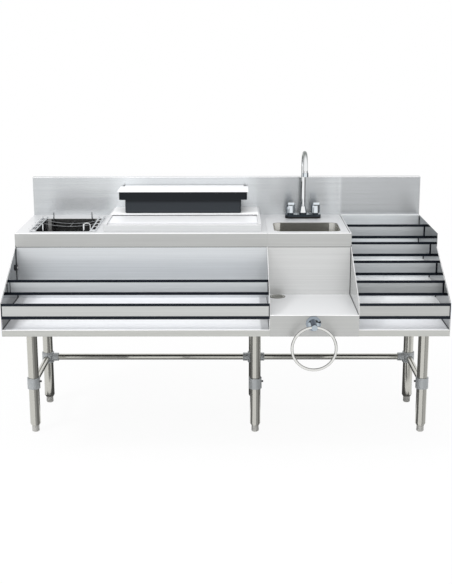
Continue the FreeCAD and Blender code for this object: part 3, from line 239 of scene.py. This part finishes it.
# Painted light and shade on the tray top: brightest left of the hand sink, darker along both panels.
TRAY_BANDS = (
    (left_high.x - BORDER_FADE, PANEL_SHADE),
    (left_high.x + BORDER, PANEL_SHADE),
    (left_high.x + BORDER + BORDER_FADE, BRIGHT),
    (divider_x - BORDER, BRIGHT),
    (divider_x - BORDER + BORDER_FADE, PANEL_SHADE),
    (divider_x, PANEL_SHADE),
    (divider_x + BORDER_FADE, EVEN),
    (-left_high.x, EVEN),
)
tray_steel = painted_top_light("tray_steel", TRAY_STEEL, LIP_STEEL, roughness=0.42,
                      top_metallic=0.15, side_metallic=0.7, top_bands=TRAY_BANDS)
cool_steel = brushed("cool_steel", colour=(0.74, 0.765, 0.785), roughness=0.32)
# The end panels' colour is set dark as painted dark reflection; their low roughness gives the real mirror
# image.
mirror_steel = brushed("mirror_steel", colour=(0.175, 0.18, 0.182), roughness=0.09, metallic=1.0,
                       stretch=0.0, spread=0.02)
satin_steel = brushed("satin_steel", colour=(0.60, 0.605, 0.60), roughness=0.2, metallic=0.9,
                      stretch=0.0, spread=0.02)
highlight_and_bright_cap = plain("highlight_and_bright_cap", colour=(0.92, 0.92, 0.92), metallic=0.3, roughness=0.35)
sealant_and_shade = plain("sealant_and_shade", colour=(0.02, 0.022, 0.025), metallic=0.0, roughness=0.5)

dress(["base_tray", "left_tread"], tray_steel, SHEET_BEND)
dress(["left_side_panel", "right_side_panel"], mirror_steel)
dress(["sink_left_panel", "step_inner_panel"], satin_steel)
dress(["ice_front_panel", "rear_panel"], cool_steel)

# The painted highlights on the bends are centred this far inside the outer faces of the sheet.
INSET = 0.0015
BEND_HALF, EDGE_HALF, SEAM_HALF = 0.0016, 0.0009, 0.002
front_y, tray_top = tray_low.y, tray_high.z
strips("tray_front_bend", [level_line(tray_low.x + INSET, tray_high.x - INSET, front_y + INSET, tray_top)],
       BEND_HALF, highlight_and_bright_cap)

# A painted highlight runs along the cut front edge of each upright panel.
ice_top_low, ice_top_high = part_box("ice_counter")
rail_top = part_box("left_rail_front")[1].z
cut_edges = []
for x in (left_low.x + INSET, divider_x, inner_x, right_high.x - INSET):
    cut_edges += chain([(x, front_y + INSET, tray_top), (x, front_y + INSET, rail_top),
                        (x, ice_top_low.y, ice_top_low.z)])
strips("panel_edges", cut_edges, EDGE_HALF, highlight_and_bright_cap)

# Dark sealant closes the joints of the tray and the second tier with the upright panels.
SEAM_SETBACK, FIRST_TIER_DEEP = 0.004, 0.146
ice_low, ice_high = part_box("ice_front_panel")
tier_low, tier_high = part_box("left_tread")
seam_y = front_y + SEAM_SETBACK
left_seam, right_seam = left_high.x + SEAM_HALF - INSET, right_low.x - SEAM_HALF + INSET
seams = [((right_seam, seam_y, tray_top), (right_seam, front_y + FIRST_TIER_DEEP, tray_top)),
         ((left_seam, ice_low.y, tier_high.z), (left_seam, ice_low.y, ice_high.z - SEAM_SETBACK))]
for x in (left_seam, divider_x):
    seams += chain([(x, seam_y, tray_top), (x, tier_low.y, tray_top),
                    (x, tier_low.y, tier_high.z), (x, ice_low.y, tier_high.z)])
strips("panel_seams", seams, SEAM_HALF, sealant_and_shade)

# A bright cap on a blackened nut closes the bolt that ties the left end panel to the body.
# The dark round is widened to take in the bolt's mirror images in the panels, as painted reflection.
BOLT_Y, BOLT_Z = -0.0515, 0.672
WASHER_HALF, WASHER_THICK = 0.0115, 0.006
NUT_HALF, NUT_LONG = 0.004, 0.002
washer_x = left_high.x + WASHER_THICK
strips("panel_washer", [level_line(left_high.x, washer_x, BOLT_Y, BOLT_Z)],
       WASHER_HALF, sealant_and_shade)
strips("panel_nut", [level_line(washer_x, washer_x + NUT_LONG, BOLT_Y, BOLT_Z)],
       NUT_HALF, highlight_and_bright_cap)

# ------------------------------------------------------------ ledge under the hand sink
# A bent shelf with a deep fascia, level with the bottle rails. A steel ring lines the hole that the
# soda gun hose comes through, and a dark bead seals the ring.

FASCIA_STEEL = (0.52, 0.525, 0.515)
# The ledge top is painted lighter than its fascia, as painted light from above.
ledge_steel = painted_top_light("ledge_steel", (0.77, 0.775, 0.785), FASCIA_STEEL, roughness=0.40,
                       top_metallic=0.4, side_metallic=0.8)
back_steel = brushed("back_steel", colour=(0.66, 0.665, 0.66), roughness=0.36, metallic=0.7)
satin_ring = plain("satin_ring", colour=(0.45, 0.45, 0.42), metallic=0.0, roughness=0.4)
dull_bead = plain("dull_bead", colour=(0.07, 0.068, 0.06), metallic=0.0, roughness=0.5)
dress(["centre_ledge"], ledge_steel, SHEET_BEND)
dress(["sink_front_panel"], back_steel)
dress(["gun_hole_grommet"], satin_ring)

ledge_low, ledge_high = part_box("centre_ledge")
sink_panel_low, sink_panel_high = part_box("sink_front_panel")
ledge_top = ledge_high.z
# A painted highlight runs along the front bend of the ledge.
strips("ledge_front_bend", [level_line(ledge_low.x, ledge_high.x, ledge_low.y, ledge_top)],
       BEND_HALF, highlight_and_bright_cap)
strips("ledge_seams", chain([(inner_x, ledge_low.y + SEAM_SETBACK, ledge_top),
                             (inner_x, sink_panel_low.y, ledge_top),
                             (inner_x, sink_panel_low.y, sink_panel_high.z - SEAM_SETBACK)]),
       SEAM_HALF, sealant_and_shade)

RING_SIDES, RING_BEAD_HALF = 32, 0.002
ring_low, ring_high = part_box("gun_hole_grommet")
ring_middle, ring_reach = (ring_low + ring_high) / 2, (ring_high.x - ring_low.x) / 2
ring_points = []
for side in range(RING_SIDES + 1):
    turn = math.tau * (side % RING_SIDES) / RING_SIDES
    ring_points.append((ring_middle.x + ring_reach * math.cos(turn),
                        ring_middle.y + ring_reach * math.sin(turn), ledge_top))
strips("gun_hole_bead", chain(ring_points), RING_BEAD_HALF, dull_bead)

# ------------------------------------------------------------ counters
# One counter carries the rinse well and the ice bin, the other the hand sink. Each is folded down at
# the front into a fascia, and a dark strip under the fascia is painted shadow in the gap there.

FASCIA_SHADOW_HALF = 0.0016
# The counter tops are painted lighter than their fascias, as painted light from above.
counter_steel = painted_top_light("counter_steel", (0.73, 0.735, 0.745), FASCIA_STEEL, roughness=0.34,
                         top_metallic=0.5, side_metallic=0.8)
dress(["ice_counter", "sink_counter"], counter_steel, SHEET_BEND)
for name in ("ice", "sink"):
    low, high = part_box(name + "_counter")
    # Each counter gets a painted highlight along its front bend and a painted shadow line under its
    # fascia.
    strips(name + "_counter_bend", [level_line(low.x + INSET, high.x - INSET, low.y + INSET, high.z)],
           BEND_HALF, highlight_and_bright_cap)
    strips(name + "_fascia_shadow_line", [level_line(low.x + INSET, high.x - INSET, low.y + INSET, low.z)],
           FASCIA_SHADOW_HALF, sealant_and_shade)

# A fine bead runs along the step panel, where the sink counter is let in.
EDGE_BEAD_HALF, EDGE_SETBACK, EDGE_FRONT, EDGE_BACK = 0.001, 0.006, 0.02, 0.01
sink_top_low, sink_top_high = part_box("sink_counter")
bead_x, bead_z = sink_top_high.x - EDGE_SETBACK, sink_top_high.z
strips("sink_counter_bead", [((bead_x, sink_top_low.y + EDGE_FRONT, bead_z),
                              (bead_x, sink_top_high.y - EDGE_BACK, bead_z))],
       EDGE_BEAD_HALF, sealant_and_shade)

# ------------------------------------------------------------ backsplash
# Boxed upstand bent from one length of sheet. Its colour carries painted reflections that change from
# end to end, and a painted highlight runs along the bend at the top.

# Painted reflections along the backsplash, among them the faucet's dark reflection near x = 0.47.
SPLASH_BANDS = (
    (-0.80, 0.94), (-0.72, 1.00), (-0.64, 1.10), (-0.50, 1.20), (-0.42, 1.26), (-0.30, 1.10),
    (0.08, 1.10), (0.16, 0.92), (0.20, 0.98), (0.26, 0.86), (0.38, 0.90), (0.445, 1.02),
    (0.460, 1.00), (0.468, 1.07), (0.480, 0.84), (0.50, 0.84), (0.70, 0.80), (0.80, 0.76),
)
splash_steel = brushed("splash_steel", colour=(0.615, 0.635, 0.65), roughness=0.25, stretch=0.8,
                       bands=SPLASH_BANDS)
dress(["backsplash"], splash_steel, SHEET_BEND)
splash_low, splash_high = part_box("backsplash")
strips("backsplash_bend",
       [level_line(splash_low.x + INSET, splash_high.x - INSET, splash_low.y, splash_high.z - INSET)],
       BEND_HALF, highlight_and_bright_cap)

# ------------------------------------------------------------ bottle display and bottle rails
# Folded treads climb to the back. Each tier has a flat bar in front of it, held between the panels.
# The bar is edged with black vinyl channel, and a thin black strip at each end is painted shadow in the
# gap.

TREADS = ["step_tread_%d" % number for number in range(1, 5)]
LEFT_RAILS = ["left_rail_front", "left_rail_rear"]
STEP_RAILS = ["step_rail_%d" % number for number in range(1, 6)]
# Every bar is the same steel; each gets its own tone, as painted light and shade.
STEP_RAIL_PAINTED_TONES = ((0.49, 0.495, 0.485), (0.54, 0.56, 0.565), (0.675, 0.70, 0.715),
                    (0.69, 0.71, 0.725), (0.63, 0.65, 0.665))
RAIL_ROUGH = 0.28
# The treads are painted lighter on top than on their risers, as painted light from above.
tread_steel = painted_top_light("tread_steel", (0.96, 0.97, 0.98), (0.86, 0.89, 0.91), roughness=0.36,
                       top_metallic=0.3, side_metallic=0.8)
# The two left bars are the same steel, the rear one painted lighter, as painted light.
rail_steel = brushed("rail_steel", colour=(0.58, 0.59, 0.58), roughness=RAIL_ROUGH)
rear_rail_steel = brushed("rear_rail_steel", colour=(0.76, 0.79, 0.81), roughness=RAIL_ROUGH)
vinyl_and_gap_shadow = plain("vinyl_and_gap_shadow", colour=(0.004, 0.007, 0.013), metallic=0.0, roughness=0.45,
                    specular=0.2)
dress(TREADS + ["step_back_wall"], tread_steel)
dress(["left_rail_front"], rail_steel)
dress(["left_rail_rear"], rear_rail_steel)
for name, colour in zip(STEP_RAILS, STEP_RAIL_PAINTED_TONES):
    dress([name], brushed(name + "_steel", colour, RAIL_ROUGH))
dress(["rail_trims"], vinyl_and_gap_shadow)

# The black strips at the bar ends are painted shadow in the gaps against the panels.
END_HALF, REAR_END_SETBACK = 0.0017, 0.0055
for side, names in (("left", LEFT_RAILS), ("step", STEP_RAILS)):
    ends = []
    for name in names:
        low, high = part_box(name)
        places = [high.x - END_HALF]
        if name in LEFT_RAILS:
            places.append(low.x + (END_HALF if name == "left_rail_front" else REAR_END_SETBACK))
        for x in places:
            ends.append(((x, low.y, low.z), (x, low.y, high.z)))
    strips(side + "_rail_ends", ends, END_HALF, vinyl_and_gap_shadow)

# The channel ends in a soft rounded lip above and below the bar.
TRIM_WALL, LIP_HALF, LIP_SET = 0.0012, 0.002, 0.001
lips = []
for name in LEFT_RAILS + STEP_RAILS:
    low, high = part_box(name)
    for z in (low.z - TRIM_WALL, high.z + TRIM_WALL - LIP_SET):
        lips.append(level_line(low.x, high.x, low.y, z))
strips("trim_lips", lips, LIP_HALF, vinyl_and_gap_shadow)

# Sealant closes the risers against the right end panel.
riser_seams = []
floor_z = tray_top
for name in TREADS:
    low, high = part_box(name)
    riser_seams.append(((right_seam, low.y, floor_z), (right_seam, low.y, high.z)))
    floor_z = high.z
wall_low, wall_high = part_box("step_back_wall")
riser_seams.append(((right_seam, wall_low.y, floor_z),
                    (right_seam, wall_low.y, wall_high.z - SEAM_SETBACK)))
strips("riser_seams", riser_seams, SEAM_HALF, sealant_and_shade)

# ------------------------------------------------------------ bowls
# The rinse well, the ice bin and the hand sink are pressed in one go, so their corners are round, and
# welded under the counters. The ice bin has foam round it and a slotted plate on its floor.

# The rinse well is the hand sink's steel coloured much darker, as painted shade in the deep well.
well_steel = brushed("well_steel", colour=(0.22, 0.22, 0.218), roughness=0.25, metallic=1.0, stretch=0.3)
sink_steel = brushed("sink_steel", colour=(0.60, 0.595, 0.565), roughness=0.25, metallic=1.0, stretch=0.3)
foam = plain("foam", colour=(0.80, 0.70, 0.45), metallic=0.0, roughness=0.9)
dress(["rinse_well"], well_steel, SHEET_BEND)
dress(["hand_sink"], sink_steel, SHEET_BEND)
dress(["ice_liner", "ice_false_bottom"], sink_steel)
dress(["ice_insulation"], foam)

# ------------------------------------------------------------ wires of the basket
# Thin plated wires welded to the basket: rungs between its hangers with their ends turned up, sagging
# cross wires, a long middle wire and a loop to lift it by.

bright_wire = plain("bright_wire", colour=(0.80, 0.81, 0.82), metallic=0.6, roughness=0.25)
dull_wire = plain("dull_wire", colour=(0.30, 0.31, 0.32), metallic=0.6, roughness=0.3)
RUNG_HALF, HANG_IN, RUNG_OUT, TIP_RISE, HANG_RISE = 0.0013, 0.104, 0.131, 0.008, 0.0045
RUNG_PLACES = (0.06, 0.28, 0.50, 0.72, 0.94)
basket_low, basket_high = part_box("wire_basket")
basket_middle = (basket_low.x + basket_high.x) / 2
basket_long = basket_high.y - basket_low.y
hang_z = ice_top_high.z + HANG_RISE
rungs = []
for way in (-1, 1):
    start_x, end_x = basket_middle + way * HANG_IN, basket_middle + way * RUNG_OUT
    for place in RUNG_PLACES:
        y = basket_low.y + basket_long * place
        rungs += chain([(start_x, y, hang_z), (end_x, y, hang_z), (end_x, y, hang_z + TIP_RISE)])
strips("basket_rungs", rungs, RUNG_HALF, bright_wire, body="basket")

SAG_HALF, SAG, SAG_STEPS, SAG_PLACES = 0.0011, 0.012, 8, (0.66, 0.88)
LOOP_HALF, LOOP_WIDE, LOOP_HIGH, LOOP_INSET = 0.0015, 0.024, 0.026, 0.018
LOOP_CORNER = LOOP_WIDE / 4
sags = []
for place in SAG_PLACES:
    curve = []
    for step in range(SAG_STEPS + 1):
        across = 2 * step / SAG_STEPS - 1
        curve.append((basket_middle + HANG_IN * across, basket_low.y + basket_long * place,
                      hang_z - TIP_RISE - SAG * (1 - across * across)))
    sags += chain(curve)
middle_z = hang_z - TIP_RISE - SAG
sags.append(((basket_middle, basket_low.y + basket_long * SAG_PLACES[0], middle_z),
             (basket_middle, basket_high.y - LOOP_INSET, middle_z)))
strips("basket_sagging_wires", sags, SAG_HALF, dull_wire, body="basket")

loop_x, loop_y, loop_top = basket_middle + HANG_IN, basket_low.y + LOOP_INSET, hang_z + LOOP_HIGH
loop_outline = ((loop_x - LOOP_WIDE, hang_z), (loop_x - LOOP_WIDE, loop_top - LOOP_CORNER),
                (loop_x - LOOP_WIDE + LOOP_CORNER, loop_top), (loop_x - LOOP_CORNER, loop_top),
                (loop_x, loop_top - LOOP_CORNER), (loop_x, hang_z))
strips("basket_loop", chain([(x, loop_y, z) for x, z in loop_outline]), LOOP_HALF, bright_wire,
       body="basket")

# ------------------------------------------------------------ ice bin frame, lid and bridge
# A folded frame stands round the mouth of the bin. The lid runs back on it between two raised
# tracks, and the fixed bridge on the tracks carries the garnish caddy.

# The frame's top is painted a little lighter than its sides, as painted light from above.
frame_steel = painted_top_light("frame_steel", (0.70, 0.705, 0.715), (0.66, 0.67, 0.675), roughness=0.4,
                       top_metallic=0.4, side_metallic=0.4)
lid_steel = brushed("lid_steel", colour=(0.86, 0.865, 0.88), roughness=0.42, metallic=0.3, spread=0.01)
# The bridge is white and not metallic, as painted light that keeps it bright under the caddy.
bridge_steel = brushed("bridge_steel", colour=(0.99, 0.995, 1.0), roughness=0.4, metallic=0.0, spread=0.01)
dress(["ice_bin_frame"], frame_steel, SHEET_BEND)
dress(["ice_lid"], lid_steel, SHEET_BEND)
dress(["ice_bridge"], bridge_steel, SHEET_BEND)

# ------------------------------------------------------------ garnish caddy
# Injection moulded black tub with a wide rim; it holds four pans under a flat hinged lid of bright
# sheet that turns on two pins at the back. The wall under the rim is textured and looks paler.

MOULD_ROUND = 0.0008
RIM_PLASTIC, TEXTURED_PLASTIC = (0.010, 0.012, 0.015), (0.030, 0.0345, 0.040)
RIM_DEEP, RIM_FADE = 0.032, 0.02
black_plastic = plain("black_plastic", RIM_PLASTIC, metallic=0.0, roughness=0.36, specular=0.14)
pan_plastic = plain("pan_plastic", colour=(0.85, 0.85, 0.82), metallic=0.0, roughness=0.25)
rim_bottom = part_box("garnish_caddy")[1].z - RIM_DEEP
tree = black_plastic.node_tree
height = coordinate(tree, "ShaderNodeTexCoord", "Object", "Z")
under_rim = climb(tree, height, rim_bottom, rim_bottom - RIM_FADE)
tree.links.new(mix(tree, under_rim, RIM_PLASTIC, TEXTURED_PLASTIC),
               tree.nodes["Principled BSDF"].inputs["Base Color"])
dress(["garnish_caddy"], black_plastic, MOULD_ROUND)
dress(["caddy_lid"], lid_steel, SHEET_BEND)
dress(["garnish_pans"], pan_plastic)

# ------------------------------------------------------------ chrome fittings
# Faucet, towel ring, drains and the wire basket are polished and chromium plated; the supply shanks
# under the counter are plain brass, and a rubber gasket lies under the faucet base.

PLATE_METAL, PLATE_ROUGH = 1.0, 0.06


def chrome_with_painted_reflection(name, bright, dark, dark_until, bright_from):
    """Chromium plate with painted reflections: bright where it faces the front and darker toward its
    outlines.
    """
    material = plain(name, bright, PLATE_METAL, PLATE_ROUGH)
    tree = material.node_tree
    back = coordinate(tree, "ShaderNodeNewGeometry", "Normal", "Y")
    facing = climb(tree, back, -dark_until, -bright_from)
    tree.links.new(mix(tree, facing, dark, bright), tree.nodes["Principled BSDF"].inputs["Base Color"])
    return material


chrome = plain("chrome", (0.74, 0.755, 0.77), PLATE_METAL, PLATE_ROUGH)
spout_chrome = chrome_with_painted_reflection("spout_chrome", bright=(0.86, 0.87, 0.88), dark=(0.22, 0.24, 0.23),
                      dark_until=0.45, bright_from=0.75)
handle_chrome = chrome_with_painted_reflection("handle_chrome", bright=(0.74, 0.79, 0.83), dark=(0.16, 0.20, 0.24),
                       dark_until=0.30, bright_from=0.80)
post_chrome = chrome_with_painted_reflection("post_chrome", bright=(0.44, 0.50, 0.55), dark=(0.04, 0.05, 0.08),
                     dark_until=0.50, bright_from=0.97)
ring_chrome = chrome_with_painted_reflection("ring_chrome", bright=(0.74, 0.74, 0.72), dark=(0.20, 0.20, 0.19),
                     dark_until=0.45, bright_from=0.85)
# The faucet base has a painted reflection: its top light, its sides near black.
base_chrome = painted_top_light("base_chrome", (0.55, 0.60, 0.64), (0.05, 0.06, 0.07), roughness=0.12,
                       top_metallic=1.0, side_metallic=1.0)
brass = plain("brass", colour=(0.62, 0.45, 0.20), metallic=1.0, roughness=0.28)
rubber = plain("rubber", colour=(0.006, 0.006, 0.007), metallic=0.0, roughness=0.55, specular=0.3)
dress(["drain_fittings", "sink_strainer", "wire_basket"], chrome)
dress(["faucet_spout"], spout_chrome)
dress(["faucet_base"], base_chrome)
dress(["aerator", "faucet_handle_left", "faucet_handle_right"], handle_chrome)
dress(["towel_ring_post"], post_chrome)
dress(["towel_ring"], ring_chrome)
dress(["faucet_shanks"], brass)
dress(["faucet_gasket"], rubber)

# ------------------------------------------------------------ legs
# Six stainless tubes stand in sockets under the tray and end in feet that screw up and down. Cast
# collars clamp the tubes to thinner braces with set screws.

ROUND_GRAIN, CAST_ROUND = (60.0, 60.0, 900.0), 0.0008
FEET = ["foot_%s_%s" % (side, end) for end in ("front", "back") for side in ("left", "middle", "right")]
tube_steel = brushed("tube_steel", colour=(0.56, 0.555, 0.515), roughness=0.16, metallic=1.0,
                     grain=ROUND_GRAIN, stretch=0.0)
cast_alloy = plain("cast_alloy", colour=(0.46, 0.48, 0.49), metallic=0.5, roughness=0.48)
foot_steel = plain("foot_steel", colour=(0.52, 0.515, 0.49), metallic=0.35, roughness=0.35)
dress(["legs", "braces"], tube_steel)
dress(["leg_sockets", "brace_collars"], cast_alloy, CAST_ROUND)
dress(FEET, foot_steel)

# A set screw stands out of each front collar, on the side that faces the middle of the unit.
SCREW_HALF, SCREW_FROM, SCREW_TO, SCREW_RISE = 0.004, 0.023, 0.031, 0.006
collar_low, collar_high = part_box("brace_collars")
screw_z = (collar_low.z + collar_high.z) / 2 + SCREW_RISE
screws = []
for side, way in (("left", 1), ("middle", 1), ("right", -1)):
    low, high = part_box("foot_%s_front" % side)
    leg_x, leg_y = (low.x + high.x) / 2, (low.y + high.y) / 2
    screws.append(level_line(leg_x + way * SCREW_FROM, leg_x + way * SCREW_TO, leg_y, screw_z))
strips("set_screws", screws, SCREW_HALF, sealant_and_shade)

# ------------------------------------------------------------ studio
# Pale floor, a large soft light overhead and a softer one from the left, and dark cards out of the
# picture that give the round tubes and the chrome their edges. The camera stands where the
# photograph was taken.

FLOOR_HALF = 20.0
SHADOW_KEPT = 0.06
SHADOW_REACH = (1.2, 3.0)
WHITE_FOR = ("Is Camera Ray", "Is Glossy Ray", "Is Transmission Ray")


def board(name, corners, material):
    """A flat piece of the studio."""
    mesh = bpy.data.meshes.new(name)
    mesh.from_pydata(corners, [], [tuple(range(len(corners)))])
    mesh.materials.append(material)
    piece = bpy.data.objects.new(name, mesh)
    bpy.context.scene.collection.objects.link(piece)
    return piece


def seen_rays(tree, kinds):
    """1 for rays of these kinds, 0 for the others."""
    path = tree.nodes.new("ShaderNodeLightPath")
    total = path.outputs[kinds[0]]
    for kind in kinds[1:]:
        larger = tree.nodes.new("ShaderNodeMath")
        larger.operation = "MAXIMUM"
        tree.links.new(total, larger.inputs[0])
        tree.links.new(path.outputs[kind], larger.inputs[1])
        total = larger.outputs["Value"]
    return total


def either(tree, share, first, second, target):
    """Sends the first surface to the target, and the second as the share goes to 1."""
    choice = tree.nodes.new("ShaderNodeMixShader")
    tree.links.new(share, choice.inputs["Fac"])
    tree.links.new(first, choice.inputs[1])
    tree.links.new(second, choice.inputs[2])
    tree.links.new(choice.outputs["Shader"], target)


pale_floor = plain("pale_floor", colour=(0.9, 0.9, 0.9), metallic=0.0, roughness=0.9, specular=0.0)
tree = pale_floor.node_tree
glow = tree.nodes.new("ShaderNodeEmission")
glow.inputs["Color"].default_value = (1.0, 1.0, 1.0, 1.0)
place = tree.nodes.new("ShaderNodeTexCoord")
distance = tree.nodes.new("ShaderNodeVectorMath")
distance.operation = "LENGTH"
tree.links.new(place.outputs["Object"], distance.inputs[0])
soften = tree.nodes.new("ShaderNodeMath")
soften.operation = "MULTIPLY"
tree.links.new(climb(tree, distance.outputs["Value"], *SHADOW_REACH, 1.0 - SHADOW_KEPT), soften.inputs[1])
tree.links.new(seen_rays(tree, WHITE_FOR), soften.inputs[0])
either(tree, soften.outputs["Value"], tree.nodes["Principled BSDF"].outputs["BSDF"],
       glow.outputs["Emission"], tree.nodes["Material Output"].inputs["Surface"])
board("floor", [(-FLOOR_HALF, -FLOOR_HALF, 0), (FLOOR_HALF, -FLOOR_HALF, 0),
                (FLOOR_HALF, FLOOR_HALF, 0), (-FLOOR_HALF, FLOOR_HALF, 0)], pale_floor)


def shade_card(name, corners, level):
    """A dark card seen only in reflections, and only from the side that it faces."""
    material = plain(name, (level, level, level), metallic=0.0, roughness=0.9, specular=0.0)
    tree = material.node_tree
    flat = tree.nodes.new("ShaderNodeEmission")
    flat.inputs["Color"].default_value = (level, level, level, 1.0)
    side = tree.nodes.new("ShaderNodeNewGeometry")
    clear = tree.nodes.new("ShaderNodeBsdfTransparent")
    either(tree, side.outputs["Backfacing"], flat.outputs["Emission"], clear.outputs["BSDF"],
           tree.nodes["Material Output"].inputs["Surface"])
    card = board(name, corners, material)
    card.visible_camera = False
    card.visible_diffuse = False
    card.visible_shadow = False
    card.visible_transmission = False


def floor_card(name, x, y, z, level, down=False):
    """A level card that faces up, or down."""
    corners = [(x[0], y[0], z), (x[1], y[0], z), (x[1], y[1], z), (x[0], y[1], z)]
    shade_card(name, corners[::-1] if down else corners, level)


def side_card(name, x, y, z, level, to_right):
    """An upright card in the plane of that x, facing right or left."""
    corners = [(x, y[0], z[0]), (x, y[1], z[0]), (x, y[1], z[1]), (x, y[0], z[1])]
    shade_card(name, corners if to_right else corners[::-1], level)


LEG_CARD_TOP, LEG_CARD_FLOOR, LEG_CARD_REACH = 0.43, 0.004, 0.34


def leg_card(name, leg, turns, level):
    """Shade seen by one pair of legs, between two directions in degrees from straight ahead."""
    (x0, y0), (x1, y1) = [(leg[0] + LEG_CARD_REACH * math.sin(math.radians(turn)),
                           leg[1] - LEG_CARD_REACH * math.cos(math.radians(turn))) for turn in turns]
    shade_card(name, [(x1, y1, 0.0), (x0, y0, 0.0), (x0, y0, LEG_CARD_TOP), (x1, y1, LEG_CARD_TOP)], level)
    shade_card(name + "_foot",
               [(*leg, LEG_CARD_FLOOR), (x0, y0, LEG_CARD_FLOOR), (x1, y1, LEG_CARD_FLOOR)], level)


floor_card("shade_floor", x=(-0.86, 0.86), y=(0.20, 2.1), z=0.003, level=0.09)
floor_card("shade_far_floor", x=(-0.4, 1.4), y=(3.0, 5.8), z=0.003, level=0.10)
floor_card("shade_tray", x=(-0.79, 0.79), y=(-0.33, 0.33), z=0.44, level=0.05, down=True)
side_card("shade_far_right", x=2.4, y=(-1.2, 1.6), z=(0.2, 0.8), level=0.12, to_right=False)
side_card("shade_far_left", x=-2.0, y=(-0.8, 1.6), z=(0.2, 0.8), level=0.12, to_right=True)
LEFT_LEG, MIDDLE_LEG, RIGHT_LEG = (-0.757, -0.016), (0.112, -0.016), (0.768, -0.016)
for name, leg, turns, level in (
        ("shade_left_near", LEFT_LEG, (8, 45), 0.45),
        ("shade_left_far", LEFT_LEG, (45, 110), 0.24),
        ("shade_middle_near", MIDDLE_LEG, (18, 60), 0.42),
        ("shade_middle_far", MIDDLE_LEG, (60, 110), 0.22),
        ("shade_middle_left", MIDDLE_LEG, (-115, -62), 0.22),
        ("shade_right_left", RIGHT_LEG, (-115, -60), 0.16),
        ("shade_right_near", RIGHT_LEG, (18, 32), 0.34),
        ("shade_right_far", RIGHT_LEG, (32, 110), 0.60)):
    leg_card(name, leg, turns, level)


def soft_light(name, at, target, width, depth, power):
    """A soft box that shines at a target and isn't seen in the metal."""
    data = bpy.data.lights.new(name, "AREA")
    data.shape = "RECTANGLE"
    data.size = width
    data.size_y = depth
    data.energy = power
    lamp = bpy.data.objects.new(name, data)
    lamp.location = at
    lamp.rotation_euler = (Vector(target) - Vector(at)).to_track_quat("-Z", "Y").to_euler()
    lamp.visible_glossy = False
    bpy.context.scene.collection.objects.link(lamp)


soft_light("overhead", at=(-0.2, -1.4, 3.5), target=(0, 0.1, 0.6), width=4.0, depth=3.0, power=75)
soft_light("key", at=(-2.4, -1.6, 4.0), target=(0, 0, 0.6), width=0.7, depth=0.7, power=55)

ROOM_COLOUR, ROOM_STRENGTH = (0.98, 0.99, 1.0), 0.75
world = bpy.data.worlds.new("studio")
bpy.context.scene.world = world
world.use_nodes = True
tree = world.node_tree
room = tree.nodes["Background"]
room.inputs["Color"].default_value = (*ROOM_COLOUR, 1.0)
room.inputs["Strength"].default_value = ROOM_STRENGTH
white = tree.nodes.new("ShaderNodeBackground")
white.inputs["Color"].default_value = (1.0, 1.0, 1.0, 1.0)
either(tree, seen_rays(tree, WHITE_FOR), room.outputs["Background"], white.outputs["Background"],
       tree.nodes["World Output"].inputs["Surface"])

CAMERA_AT = (0.025, -4.1327, 1.5685)
PITCH_DOWN, TURN_LEFT, ROLL = 13.67, 0.35, 0.14
PHOTO_HEIGHT, FOCAL = 584, 1100
SENSOR = 36.0
camera_data = bpy.data.cameras.new("camera")
camera_data.sensor_width = SENSOR
camera_data.lens = FOCAL * SENSOR / PHOTO_HEIGHT
camera = bpy.data.objects.new("camera", camera_data)
bpy.context.scene.collection.objects.link(camera)
aim = (Matrix.Rotation(math.radians(TURN_LEFT), 4, "Z")
       @ Matrix.Rotation(math.radians(90 - PITCH_DOWN), 4, "X")
       @ Matrix.Rotation(math.radians(-ROLL), 4, "Z"))
camera.matrix_world = Matrix.Translation(CAMERA_AT) @ aim
bpy.context.scene.camera = camera
bpy.context.scene.view_settings.view_transform = "Standard"
